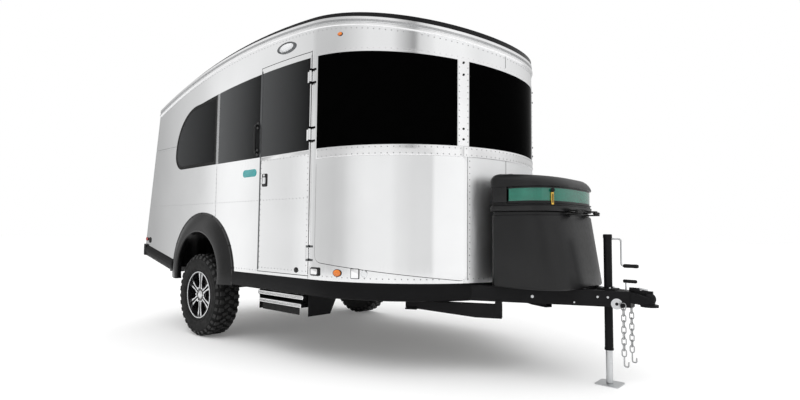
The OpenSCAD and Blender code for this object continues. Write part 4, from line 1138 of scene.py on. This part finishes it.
class CARAVAN_OT_tyres(bpy.types.Operator):
    """Models the tyres with their tread blocks"""

    bl_idname = "caravan.tyres"
    bl_label = "Tyres"

    def carcass(self):
        base = TYRE_RADIUS - sizes().lug_depth
        wall = (
            (0.001, 0.0225), (0.008, 0.0222), (0.013, 0.017), (0.024, 0.0105), (0.030, 0.0085),
            (0.033, 0.0045), (0.037, 0.0045), (0.040, 0.006), (0.060, 0.002), (0.082, 0.0015),
            (0.106, 0.005), (0.112, 0.004), (0.116, 0.007),
        )
        half = [(BEAD + rise, TYRE_HALF - inward) for rise, inward in wall]
        half += [(TYRE_RADIUS - 0.034, TYRE_HALF - 0.013), (base - 0.008, TYRE_HALF - 0.024)]
        half += [(base, TYRE_HALF - 0.040), (base + 0.001, 0.0)]
        mirrored = [(r, -z) for r, z in reversed(half[:-1])]
        return turned(half + mirrored, 96)

    def lugs(self, tyre):
        count, deep = sizes().lug_pitches, sizes().lug_depth
        step = 2 * pi / count
        middle = TYRE_RADIUS - deep / 2 - 0.0008
        for i in range(count):
            for side in SIDES:
                turn = step * (i + (0.5 if side > 0 else 0))
                long = i % 2 == 0
                wide = 0.044 if long else 0.036
                shoulder = block((deep, 0.037, wide), 0.004, 1)
                self.lean(shoulder, 0.010)
                at = shift((middle, 0, side * (0.0885 - wide / 2)))
                tyre.add(shoulder, Matrix.Rotation(turn, 4, "Z") @ at, "rubber")
                biter = block((0.030, 0.030 if long else 0.040, 0.008), 0.003, 1)
                at = shift((TYRE_RADIUS - 0.030, 0, side * (TYRE_HALF - 0.0125)))
                slope = Matrix.Rotation(side * radians(24), 4, "Y")
                tyre.add(biter, Matrix.Rotation(turn, 4, "Z") @ at @ slope, "rubber")
                centre = block((deep, 0.030, 0.046), 0.0035, 1)
                at = shift((middle, 0, side * 0.0205))
                skew = Matrix.Rotation(side * radians(28 if long else 16), 4, "X")
                tyre.add(centre, Matrix.Rotation(turn + step * 0.42, 4, "Z") @ at @ skew, "rubber")

    def lean(self, form, amount):
        """Draws the foot of a block out wider than its top."""
        low = [v for v in form.verts if v.co.x < 0]
        bmesh.ops.scale(form, vec=(1, 1 + amount * 12, 1 + amount * 8), verts=low)

    def execute(self, context):
        for side, name in ((-1, "curb"), (1, "street")):
            tyre = Piece("tyre_tread_" + name)
            # The carcass takes the darker tone of the rubber, painted shade against the lighter blocks
            tyre.add(self.carcass(), None, "tyre wall")
            self.lugs(tyre)
            bmesh.ops.transform(tyre.bm, matrix=wheel_place(side), verts=tyre.bm.verts)
            tyre.done("wheel_" + name, "tyre", ["tyre_" + name], 30)
        return {"FINISHED"}


class CARAVAN_OT_wheels(bpy.types.Operator):
    """Models the alloy wheels with machined spokes, caps and nuts"""

    bl_idname = "caravan.wheels"
    bl_label = "Wheels"

    def barrel(self):
        flange = TYRE_HALF - 0.022
        inner = BEAD - 0.0115
        edge, seat, lip = BEAD + 0.009, BEAD - 0.0005, flange + 0.008
        profile = [
            (inner, -lip), (edge, -lip), (edge, -flange), (seat, -flange), (seat, flange), (edge, flange),
            (edge, flange + 0.006), (BEAD + 0.006, lip), (inner + 0.003, lip), (inner, flange - 0.010),
        ]
        return turned(profile, 96)

    def spoke(self, s):
        rim = BEAD - 0.008
        side = ((0.052, 0.004), (rim, 0.011), (rim, 0.042), (0.150, 0.030), (0.105, 0.021), (0.052, 0.026))
        outline = [(x, s * y) for x, y in side][::s]
        form = plate(outline, 0.028)
        top = [f for f in form.faces if all(v.co.z > 0.02 for v in f.verts)]
        bmesh.ops.inset_region(form, faces=top, thickness=0.0035, depth=0.0)
        bmesh.ops.translate(form, vec=(0, 0, 0.003), verts=[v for f in top for v in f.verts])
        for face in form.faces:
            face.material_index = 0
        for face in top:
            face.material_index = 1
        return form

    def execute(self, context):
        pairs = sizes().spoke_pairs
        for side, name in ((-1, "curb"), (1, "street")):
            wheel = Piece("alloy_wheel_" + name, "wheel paint", "machined", "chrome")
            wheel.add(self.barrel(), None, "wheel paint")
            low, high = TYRE_HALF - 0.0145, TYRE_HALF - 0.0125
            lip = [(BEAD - 0.004, low), (BEAD + 0.0055, low), (BEAD + 0.004, high), (BEAD - 0.003, high)]
            wheel.add(turned(lip, 96), None, "machined")
            for i in range(pairs):
                place = Matrix.Rotation(2 * pi * (i + 0.5) / pairs, 4, "Z") @ shift((0, 0, 0.054))
                for s in SIDES:
                    wheel.add(self.spoke(s), place)
            disc = [
                (0.0447, 0.050), (0.078, 0.050), (0.078, 0.072), (0.072, 0.080), (0.060, 0.081),
                (0.056, 0.079), (0.050, 0.083), (0.0447, 0.083),
            ]
            wheel.add(turned(disc, 64), None, "wheel paint")
            cap = [(0, 0.095), (0.020, 0.0945), (0.032, 0.092), (0.037, 0.088), (0.038, 0.086), (0, 0.086)]
            wheel.add(turned(cap, 40), None, "machined")
            for i in range(pairs):
                angle = 2 * pi * i / pairs
                place = shift((0.066 * cos(angle), 0.066 * sin(angle), 0.083))
                wheel.add(cone(6, 0.0095, 0.0085, 0.016), place, "chrome")
            bmesh.ops.transform(wheel.bm, matrix=wheel_place(side), verts=wheel.bm.verts)
            wheel.done("wheel_" + name, "wheel_black", ["rim_" + name], 30)
        return {"FINISHED"}


class CARAVAN_OT_tongue_box(bpy.types.Operator):
    """Models the moulded tongue box, its lid, the band and the strap latch"""

    bl_idname = "caravan.tongue_box"
    bl_label = "Tongue box"

    def bow(self, x1, half, deep, turn):
        """A point of the bowed front and its outward direction; turn runs from -90 to 90 degrees."""
        ahead, aside = abs(cos(turn)) ** (2 / 3), abs(sin(turn)) ** (2 / 3)
        side = -1 if turn < 0 else 1
        at = Vector((x1 - deep + deep * ahead, side * half * aside, 0))
        return at, Vector((ahead ** 2 / deep, side * aside ** 2 / half, 0)).normalized()

    def level(self, x0, x1, half, rear, deep, z):
        """One closed loop of the box's plan: a bowed front and rounded rear corners."""
        loop = [self.bow(x1, half, deep, radians(turn))[0] for turn in range(-90, 91, 3)]
        for cy, start in ((half - rear, 90), (rear - half, 180)):
            for i in range(9):
                angle = radians(start + 90 * i / 8)
                loop.append(Vector((x0 + rear + rear * cos(angle), cy + rear * sin(angle), 0)))
        return [p + UP * z for p in loop]

    def skin(self, levels):
        """Bridges a stack of plan loops, closed below and above."""
        form = bmesh.new()
        edges = []
        for points in levels:
            verts = [form.verts.new(p) for p in points]
            edges.append([form.edges.new(pair) for pair in zip(verts, verts[1:] + verts[:1])])
        for low, high in zip(edges, edges[1:]):
            bmesh.ops.bridge_loops(form, edges=low + high)
        bmesh.ops.contextual_create(form, geom=edges[0])
        bmesh.ops.contextual_create(form, geom=edges[-1])
        bmesh.ops.recalc_face_normals(form, faces=form.faces)
        return form

    def execute(self, context):
        hinge = HINGE["storage_lid_tilt"]
        lid_low, lid_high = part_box("box_lid")
        back, front, half = lid_low.x, hinge.x - 0.052, lid_high.y
        rear_round, front_round, over, taper = 0.040, 0.300, 0.008, 0.080
        base, floor = hinge.z + 0.004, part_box("tongue_box")[0].z
        rim = base - 0.006

        def tub_level(share, inset):
            edge = over + inset
            ahead = front - edge + taper * (1 - share)
            z = floor + (rim - floor) * share
            return self.level(back + edge, ahead, half - edge, rear_round - inset, front_round - inset, z)

        tub = Piece("box_tub")
        skirt = (
            (0.0, 0.010), (0.012, 0.003), (0.03, 0.0), (0.93, 0.0), (0.955, 0.002), (0.962, 0.010),
            (1.0, 0.010), (1.0, 0.016), (0.03, 0.016),
        )
        tub.add(self.skin([tub_level(*step) for step in skirt]), None, "box plastic")
        for y in (-0.150, 0.150):
            axis = shift((hinge.x, y, hinge.z)) @ Matrix.Rotation(radians(90), 4, "X")
            tub.add(turned([(0, -0.040), (0.005, -0.040), (0.005, 0.040), (0, 0.040)], 20), axis, "seal")
            bracket = shift((hinge.x - 0.030, y, hinge.z - 0.013))
            tub.add(block((0.078, 0.080, 0.008), 0.002), bracket, "seal")
            for run in (-0.0325, 0.0325):
                lug = turned([(0.0045, -0.0075), (0.010, -0.0075), (0.010, 0.0075), (0.0045, 0.0075)], 24)
                tub.add(lug, axis @ shift((0, 0, run)), "seal")
        tub.done(BODY, "box_plastic", ["tongue_box"], 38)

        def lid_level(inset, rise, fall=0.0):
            rounds = (rear_round - inset / 3, front_round - inset / 2)
            points = self.level(back + inset, front - inset, half - inset, *rounds, base + rise)
            return [p + UP * fall * (front - p.x) / (front - back) for p in points]

        # Inset from the lid's outline, height over its base and rise of the top towards the rear
        field_low, field_high = 0.058, 0.156
        profile = (
            (0.012, 0.17, 0.03), (0.012, 0), (0.004, 0), (0.0, 0.006), (0.0, 0.034), (0.008, 0.040),
            (0.008, 0.046), (0.002, 0.050), (0.002, field_low - 0.004), (0.013, field_low),
            (0.013, field_high), (0.001, field_high + 0.004), (0.0, field_high + 0.006, 0.046),
            (0.005, 0.178, 0.048),
            (0.016, 0.196, 0.046), (0.030, 0.211, 0.041), (0.045, 0.2215, 0.036), (0.070, 0.224, 0.036),
        )
        lid = Piece("box_cover")
        lid.add(self.skin([lid_level(*step) for step in profile]), None, "box plastic")
        for s in SIDES:
            cheek = rectangle(back + 0.030, field_low - 0.001, back + 0.138, field_high + 0.003)
            place = shift((0, s * (half - 0.016 - HALF), base)) @ side_place(s)
            lid.add(plate(cheek, 0.0145, 0, 0.002), place, "box plastic")
        for y in (-0.150, 0.150):
            axis = shift((hinge.x, y, hinge.z)) @ Matrix.Rotation(radians(90), 4, "X")
            knuckle = turned([(0.0052, -0.024), (0.010, -0.024), (0.010, 0.024), (0.0052, 0.024)], 24)
            lid.add(knuckle, axis, "seal")
            strap = shift((hinge.x - 0.030, y, hinge.z + 0.0115))
            lid.add(block((0.060, 0.048, 0.010), 0.002), strap, "seal")
        lid.done("storage_lid", "box_plastic", ["box_lid"], 38)

        def around(turn, inset):
            return self.bow(front - inset, half - inset, front_round - inset / 2, turn)

        inset = 0.013
        flanks = (back + 0.158, front - front_round - 0.02)
        path = [(Vector((x, inset - half, 0)), Vector((0, -1, 0))) for x in flanks]
        path += [around(radians(a), inset) for a in range(-90, 1, 3)]
        mirror = Matrix.Diagonal((1, -1, 1))
        path += [(mirror @ at, mirror @ out) for at, out in reversed(path)]
        tall = field_high - field_low - 0.016
        section = [
            (-0.003, 0.0), (0.0015, 0.0), (0.002, 0.002),
            (0.002, tall - 0.002), (0.0015, tall), (-0.003, tall),
        ]
        band = Piece("lid_band", "band")
        band.add(sweep(section, [station(at + UP * (base + field_low + 0.008), out) for at, out in path]))
        band.done("storage_lid", "box_plastic", sharp=40)

        strap = Piece("strap_latch")
        at, out = around(radians(-40), inset)
        place = frame_of(at + UP * base, out)
        strap.add(plate(rectangle(-0.010, 0.040, 0.010, 0.122), 0.014, 0.004, 0.003), place, "brass")
        strap.add(plate(rectangle(-0.0035, 0.052, 0.0035, 0.110), 0.016, 0.002, 0.001), place, "seal")
        knob = turned([(0, 0.024), (0.010, 0.023), (0.014, 0.018), (0.012, 0.008), (0.008, 0), (0, 0)], 20)
        strap.add(knob, place @ shift((0, 0.134, 0)), "seal")
        strap.done("storage_lid", "bright_metal")

        stays = Piece("lid_stays", "seal")
        for y in (-0.30, -0.20, 0.20, 0.30):
            at = Vector((back + 0.085, y, base + 0.250))
            stays.add(block((0.060, 0.030, 0.016), 0.005), shift(at))
        stays.done("storage_lid", "black_plastic")
        return {"FINISHED"}


class CARAVAN_OT_tongue(bpy.types.Operator):
    """Models the jack, its crank, the chains, bolts and coupler latch"""

    bl_idname = "caravan.tongue"
    bl_label = "Tongue"

    def execute(self, context):
        low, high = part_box("tongue_jack")
        at = (low + high) / 2
        place = shift((at.x, at.y, 0))
        jack = Piece("jack_post")
        tube = [
            (0, high.z), (0.024, high.z), (0.028, high.z - 0.004), (0.028, high.z - 0.024),
            (0.026, high.z - 0.028), (0.026, 0.232), (0.028, 0.228), (0.028, 0.215), (0, 0.215),
        ]
        jack.add(turned(tube, 32), place, "powder coat")
        inner = [(0, 0.222), (0.021, 0.222), (0.021, 0.008), (0, 0.008)]
        jack.add(turned(inner, 28), place, "zinc")
        jack.add(plate(centred(0.150, 0.150), 0.006, 0.018, 0.001), place, "zinc")
        flange = place @ shift((0, 0, 0.600))
        jack.add(plate(centred(0.116, 0.100), 0.010, 0.012, 0.002), flange, "powder coat")
        for i in range(3):
            angle = radians(60 + 120 * i)
            spot = shift((0.042 * cos(angle), 0.040 * sin(angle), 0.013))
            jack.add(cone(6, 0.008, 0.0075, 0.010), flange @ spot, "zinc")
        jack.done(BODY, "frame_steel", ["tongue_jack"])

        crank_low, crank_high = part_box("jack_crank")
        top, bottom = crank_high.z - 0.006, crank_low.z + 0.013
        x = at.x + 0.0283
        points = [(x, 0, top), (x + 0.056, 0, top), (x + 0.056, 0, bottom), (crank_high.x - 0.010, 0, bottom)]
        crank = Piece("crank_handle")
        crank.add(rod(bent(points, 0.016), 0.0055, 10), None, "zinc")
        grip = [
            (0, 0), (0.009, 0), (0.012, 0.006), (0.0125, 0.020), (0.0115, 0.050), (0.0125, 0.080),
            (0.010, 0.090), (0, 0.091),
        ]
        turn = Matrix.Rotation(radians(90), 4, "Y")
        crank.add(turned(grip, 20), shift((crank_high.x - 0.0915, 0, bottom)) @ turn, "seal")
        crank.done(BODY, "bright_metal", ["jack_crank"])

        self.chains()
        self.bolts()
        return {"FINISHED"}

    def chains(self):
        low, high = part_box("chains")
        wire, inner, flank = 0.004, 0.036, 0.009
        x = (low.x + high.x) / 2
        y = high.y - 0.017
        links = Piece("chain_links", "rivet")
        stadium = []
        for i in range(24):
            angle = 2 * pi * i / 24
            rise = flank if sin(angle) >= 0 else -flank
            stadium.append((0.013 * cos(angle), 0, 0.013 * sin(angle) + rise))
        pitch = inner - 0.0008
        count = round((high.z - low.z - inner - 2 * wire) / pitch) + 1
        for side in SIDES:
            for i in range(count):
                at = shift((x, side * y, high.z - wire - inner / 2 - i * pitch))
                turn = Matrix.Rotation(radians(90) * (i % 2), 4, "Z")
                links.add(rod(stadium, wire * 0.98, 8, True), at @ turn)
            hook = [(0, 0, 0.012), (0, 0, -0.052), (0.026, 0, -0.052), (0.026, 0, -0.022)]
            links.add(rod(bent(hook, 0.012), 0.0045, 10), shift((x, side * y, low.z)))
        links.done(BODY, "bright_metal", ["chains"], 60)

    def bolts(self):
        bolts = Piece("drawbar_bolts")
        lean = radians(25)
        head_x = from_axle(3.400)
        for side in SIDES:
            along = Vector((-cos(lean), side * sin(lean), 0))
            out = Vector((sin(lean), side * cos(lean), 0))
            start = Vector((head_x, side * 0.031, 0)) + out * 0.025
            for run, z, size in (
                (0.56, 0.545, 0.011), (0.10, 0.56, 0.008), (0.16, 0.56, 0.008), (0.30, 0.52, 0.006),
            ):
                place = frame_of(start + along * run + UP * z, out)
                bolts.add(cone(6, size, size * 0.94, 0.012), place, "zinc")
        washer = turned([(0.010, 0), (0.034, 0), (0.034, 0.003), (0.010, 0.003)], 36)
        spot = Vector((from_axle(3.366), -0.072, 0.520))
        bolts.add(washer, frame_of(spot, Vector((0.42, -0.91, 0))), "zinc")
        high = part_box("coupler")[1]
        bends = ((0.150, 0.012), (0.110, 0.004), (0.060, 0.012))
        lever = [(high.x - back, 0, high.z - down) for back, down in bends]
        bolts.add(rod(lever, 0.007, 10), None, "zinc")
        grip = turned([(0, 0), (0.009, 0), (0.011, 0.005), (0.011, 0.075), (0.008, 0.082), (0, 0.083)], 18)
        turn = Matrix.Rotation(radians(90), 4, "Y")
        bolts.add(grip, shift((from_axle(3.385), 0, 0.660)) @ turn, "seal")
        stem = [(head_x, 0, 0.660), (head_x, 0, 0.605)]
        bolts.add(rod(stem, 0.005, 8), None, "zinc")
        bolts.done(BODY, "bright_metal")


class CARAVAN_OT_step(bpy.types.Operator):
    """Models the bright nosings and the grip strips of the folding step"""

    bl_idname = "caravan.step"
    bl_label = "Step"

    def execute(self, context):
        for solid, body, top in (
            ("step_tread_upper", "upper_tread", 0.485),
            ("step_tread_lower", "lower_tread", 0.425),
        ):
            low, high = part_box(solid)
            width = high.x - low.x
            x = (low.x + high.x) / 2
            nosing = Piece("nosing_" + body)
            front = frame_of(Vector((x, low.y, top - 0.015)), Vector((0, -1, 0)))
            nosing.add(plate(centred(width, 0.028), 0.004, 0.003, 0.0015), front, "trim")
            for z in (-0.006, 0.0, 0.006):
                rib = front @ shift((0, z, 0.0035))
                nosing.add(plate(centred(width - 0.01, 0.0022), 0.0014), rib, "seal")
            for i in range(5):
                y = low.y + 0.030 + i * 0.034
                place = shift((x, y, top))
                nosing.add(plate(centred(width * 0.86, 0.012), 0.0016, 0.004), place, "seal")
            if body == "lower_tread":
                riser = frame_of(Vector((x, low.y + 0.012, top - 0.056)), Vector((0, -1, 0)))
                nosing.add(plate(centred(width - 0.06, 0.056), 0.003, 0.004), riser, "seal")
            nosing.done(body, "tread_metal")
        self.cheeks()
        return {"FINISHED"}

    def cheeks(self):
        """Deep side cheeks of the step's housing, against the outer faces of its frame."""
        low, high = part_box("step_frame")
        out, pin = HALF - 0.167, HINGE["step_fold"].z
        outline = [
            (out - 0.160, high.z - 0.004), (out + 0.092, high.z - 0.004), (out + 0.110, pin + 0.060),
            (out + 0.110, pin - 0.096), (out - 0.100, pin - 0.096), (out - 0.160, pin + 0.020),
        ]
        cheeks = Piece("step_cheeks")
        for x, way in ((low.x, -1), (high.x, 1)):
            place = Matrix(((0, 0, way, x), (-1, 0, 0, 0), (0, 1, 0, 0), (0, 0, 0, 1)))
            cheeks.add(plate(outline, 0.004, 0.006, 0.001), place, "powder coat")
        cheeks.done(BODY, "frame_steel")


class CARAVAN_OT_tail_fittings(bpy.types.Operator):
    """Models the hatch trim and handle and the roof fittings"""

    bl_idname = "caravan.tail_fittings"
    bl_label = "Tail and roof fittings"

    def execute(self, context):
        hatch = Piece("hatch_trim")
        place = on_tail(0, 0)
        for outline, width, thick, kind in (
            (rectangle(-0.716, 0.154, 0.716, 1.266), 0.016, 0.003, "trim"),
            (rectangle(-0.640, 0.620, 0.640, 1.190), 0.035, 0.0008, "pane edge"),
        ):
            hatch.add(border(flat_face(outline), width, thick), place, kind)
        grip = place @ shift((0, 0.330, 0))
        hatch.add(plate(centred(0.200, 0.070), 0.006, 0.016, 0.002), grip, "moulding")
        bar = plate(centred(0.150, 0.026), 0.016, 0.008, 0.004)
        hatch.add(bar, grip @ shift((0, 0.010, 0.002)), "chrome")
        for z in (0.24, 0.54):
            for x in steps_between(-0.68, 0.68, 0.045):
                rivet(hatch, place @ shift((x, z, 0)))
        hatch.done("rear_hatch", "bright_metal")

        roof = Piece("roof_cooler")
        low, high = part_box("air_conditioner")
        x, wide, tall = (low.x + high.x) / 2, high.x - low.x, high.z - low.z
        shroud = plate(centred(wide, high.y - low.y), tall * 0.96, 0.10, 0.055, 8)
        roof.add(shroud, shift((x, 0, low.z + tall * 0.04)), "grey plastic")
        for i in range(-5, 6):
            slot = shift((low.x + 0.006, i * 0.040, low.z + tall * 0.55))
            roof.add(block((0.018, 0.022, 0.100), 0.004), slot, "seal")
        roof.done(BODY, "black_plastic", ["air_conditioner"], 40)

        vent = Piece("vent_cover", "grey plastic")
        low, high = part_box("vent_lid")
        wide = (high.y - low.y) / 2
        centre = Vector((low.x + wide, 0, low.z))
        dome = plate(centred(2 * wide - 0.002, 2 * wide), high.z - low.z, 0.035, 0.014, 6)
        vent.add(dome, shift(centre + UP * 0.0005))
        vent.done("roof_vent_lid", "black_plastic", sharp=40)
        return {"FINISHED"}


# Camera fitted to the photograph, in the frame's metres
CAMERA_AT = Vector((from_axle(4.491), -3.402, 0.957))
CAMERA_YAW = radians(41.486)
CAMERA_PITCH = radians(3.582)
CAMERA_ROLL = radians(0.546)
CAMERA_LENS = 23.043


# Brightness of the studio wall: direction from the nose in degrees, then level below and above eye height
DRUM_SHADES = (
    (-180, 0.50, 0.55), (-164, 0.36, 0.40), (-157.3, 0.46, 0.46), (-155.3, 0.58, 0.56),
    (-153.2, 0.68, 0.66), (-151.3, 0.68, 0.74), (-149.8, 0.95, 0.90), (-148.5, 1.02, 0.92),
    (-145.7, 1.04, 0.92), (-142.3, 0.86, 0.86), (-140, 0.80, 0.82), (-138.9, 0.74, 0.80),
    (-136.6, 1.00, 0.76), (-132, 0.70, 0.62), (-110, 0.62, 0.60), (-102, 0.66, 0.65),
    (-95, 0.78, 0.72), (-88, 0.86, 0.80), (-81, 0.90, 0.88), (-62, 0.90, 0.89),
    (-56, 0.82, 0.70), (-44, 0.76, 0.34), (-40, 0.77, 0.74), (-30, 0.77, 0.88),
    (-27, 1.00, 0.96), (-4, 1.05, 0.98), (3, 0.90, 0.92), (10, 0.79, 0.86),
    (30, 0.82, 0.90), (60, 0.62, 0.80), (100, 0.58, 0.60), (140, 0.55, 0.55),
    (180, 0.55, 0.55),
)
WHITE = (1, 1, 1, 1)
FLOOR_GLOW = 0.14
# Light from the sky: its strength overhead above that at the horizon, and the strength there
SKY_RISE, SKY_LEVEL = 1.30, 0.22
DRUM_RADIUS = 9.0
DRUM_LOW, DRUM_EYE, DRUM_SKY, DRUM_HIGH = -1.0, 3.4, 4.4, 12.0


def drum_shade(angle, height):
    column = 1 if height < DRUM_SKY else 2
    for before, after in zip(DRUM_SHADES, DRUM_SHADES[1:]):
        if before[0] <= angle <= after[0]:
            share = (angle - before[0]) / (after[0] - before[0])
            return before[column] + (after[column] - before[column]) * share
    return DRUM_SHADES[-1][column]


class CARAVAN_OT_stage(bpy.types.Operator):
    """Sets up the floor, the studio light and the camera"""

    bl_idname = "caravan.stage"
    bl_label = "Stage"

    def put(self, name, form, material):
        mesh = bpy.data.meshes.new(name)
        form.to_mesh(mesh)
        form.free()
        mesh.materials.append(material)
        made = bpy.data.objects.new(name, mesh)
        bpy.context.scene.collection.objects.link(made)
        return made

    def floor(self):
        form = bmesh.new()
        bmesh.ops.create_grid(form, x_segments=1, y_segments=1, size=60)
        material = surface(
            "studio floor", (0.86, 0.86, 0.86), Roughness=0.9, Specular_IOR_Level=0.0, Emission_Color=WHITE
        )
        tree = material.node_tree
        seen = node(tree, "LightPath").outputs["Is Camera Ray"]
        feed(tree, maths(tree, "MULTIPLY", seen, FLOOR_GLOW), shader_of(material).inputs["Emission Strength"])
        self.put("studio_floor", form, material)

    def drum(self):
        """A wall round the stage that only bright metal and glass see; its shade changes with direction."""
        form = bmesh.new()
        line = [form.verts.new((DRUM_RADIUS, 0, z)) for z in (DRUM_LOW, DRUM_EYE, DRUM_SKY, DRUM_HIGH)]
        edges = [form.edges.new(pair) for pair in zip(line, line[1:])]
        bmesh.ops.spin(
            form, geom=line + edges, cent=(0, 0, 0), axis=(0, 0, 1), angle=2 * pi, steps=360, use_merge=True
        )
        shade = form.verts.layers.float_color.new("shade")
        for vert in form.verts:
            value = drum_shade(degrees(atan2(vert.co.y, vert.co.x)), vert.co.z)
            vert[shade] = (value, value, value, 1)
        bmesh.ops.translate(form, vec=(NOSE_X, 0, 0), verts=form.verts)
        material = surface(
            "studio drum", (0, 0, 0), Roughness=1.0, Specular_IOR_Level=0.0, Emission_Strength=1.0
        )
        tree = material.node_tree
        attribute = node(tree, "Attribute")
        attribute.attribute_name = "shade"
        feed(tree, attribute.outputs["Color"], shader_of(material).inputs["Emission Color"])
        drum = self.put("studio_drum", form, material)
        drum.visible_camera = False
        drum.visible_diffuse = False
        drum.visible_transmission = False
        drum.visible_shadow = False

    def lamp(self, name, at, target, size, watts):
        light = bpy.data.lights.new(name, "AREA")
        light.shape = "RECTANGLE"
        light.size, light.size_y = size
        light.energy = watts
        lamp = bpy.data.objects.new(name, light)
        lamp.visible_glossy = False
        bpy.context.scene.collection.objects.link(lamp)
        direction = (target - at).normalized()
        lamp.matrix_world = shift(at) @ direction.to_track_quat("-Z", "Y").to_matrix().to_4x4()

    def world(self):
        world = bpy.context.scene.world or bpy.data.worlds.new("studio")
        bpy.context.scene.world = world
        world.use_nodes = True
        tree = world.node_tree
        tree.nodes.clear()
        sky = node(tree, "SeparateXYZ", Vector=node(tree, "TexCoord").outputs["Generated"]).outputs["Z"]
        strength = maths(tree, "MULTIPLY_ADD", sky, SKY_RISE, SKY_LEVEL)
        light = node(tree, "Background", Color=WHITE, Strength=strength)
        backdrop = node(tree, "Background", Color=WHITE, Strength=1.0)
        path = node(tree, "LightPath").outputs
        seen = maths(tree, "MAXIMUM", path["Is Camera Ray"], path["Is Glossy Ray"])
        mix = node(tree, "MixShader", Fac=maths(tree, "MAXIMUM", seen, path["Is Transmission Ray"]))
        feed(tree, light.outputs["Background"], mix.inputs[1])
        feed(tree, backdrop.outputs["Background"], mix.inputs[2])
        node(tree, "OutputWorld", Surface=mix.outputs["Shader"])

    def camera(self):
        yaw, pitch, roll = CAMERA_YAW, CAMERA_PITCH, CAMERA_ROLL
        ahead = Vector((-sin(yaw) * cos(pitch), cos(yaw) * cos(pitch), sin(pitch)))
        right = Vector((cos(yaw), sin(yaw), 0))
        up = right.cross(ahead)
        rolled_right = right * cos(roll) + up * sin(roll)
        rolled_up = up * cos(roll) - right * sin(roll)
        data = bpy.data.cameras.new("photo camera")
        data.lens = CAMERA_LENS
        data.sensor_width = 36
        data.sensor_fit = "HORIZONTAL"
        camera = bpy.data.objects.new("photo camera", data)
        turn = Matrix((rolled_right, rolled_up, -ahead)).transposed().to_4x4()
        camera.matrix_world = shift(CAMERA_AT) @ turn
        bpy.context.scene.collection.objects.link(camera)
        bpy.context.scene.camera = camera

    def execute(self, context):
        middle = Vector((0.2, 0, 1.2))
        self.floor()
        self.world()
        self.camera()
        self.lamp("key", Vector((1.5, -4.5, 6.0)), middle, (5.0, 4.0), 110)
        self.lamp("fill", Vector((5.5, 1.5, 4.5)), middle, (4.0, 3.0), 40)
        self.lamp("rear", Vector((-4.5, 4.0, 5.0)), middle, (4.0, 3.0), 40)
        self.drum()
        context.scene.view_settings.view_transform = "Standard"
        return {"FINISHED"}


OPERATORS = (
    CARAVAN_OT_solids,
    CARAVAN_OT_nose,
    CARAVAN_OT_roof_edge,
    CARAVAN_OT_nose_trim,
    CARAVAN_OT_rivets,
    CARAVAN_OT_pane_borders,
    CARAVAN_OT_door_fittings,
    CARAVAN_OT_lamps,
    CARAVAN_OT_side_fittings,
    CARAVAN_OT_belt,
    CARAVAN_OT_tyres,
    CARAVAN_OT_wheels,
    CARAVAN_OT_tongue_box,
    CARAVAN_OT_tongue,
    CARAVAN_OT_step,
    CARAVAN_OT_tail_fittings,
    CARAVAN_OT_stage,
)


class CARAVAN_PT_sidebar(bpy.types.Panel):
    """Lists the caravan's pieces"""

    bl_idname = "CARAVAN_PT_sidebar"
    bl_label = "Travel caravan"
    bl_space_type = "VIEW_3D"
    bl_region_type = "UI"
    bl_category = "Caravan"

    def draw(self, context):
        for group in (context.scene.caravan_sizes, context.scene.caravan_colours):
            for name in group.__annotations__:
                self.layout.prop(group, name)
        for operator in OPERATORS:
            self.layout.operator(operator.bl_idname)


CLASSES = (CaravanSizes, CaravanColours, *OPERATORS, CARAVAN_PT_sidebar)


def register():
    for cls in CLASSES:
        bpy.utils.register_class(cls)
    bpy.types.Scene.caravan_sizes = bpy.props.PointerProperty(type=CaravanSizes)
    bpy.types.Scene.caravan_colours = bpy.props.PointerProperty(type=CaravanColours)


def unregister():
    del bpy.types.Scene.caravan_sizes
    del bpy.types.Scene.caravan_colours
    for cls in reversed(CLASSES):
        bpy.utils.unregister_class(cls)


def main():
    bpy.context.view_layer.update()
    register()
    for operator in OPERATORS:
        name = operator.bl_idname.split(".")[1]
        getattr(bpy.ops.caravan, name)()


if __name__ == "__main__":
    main()
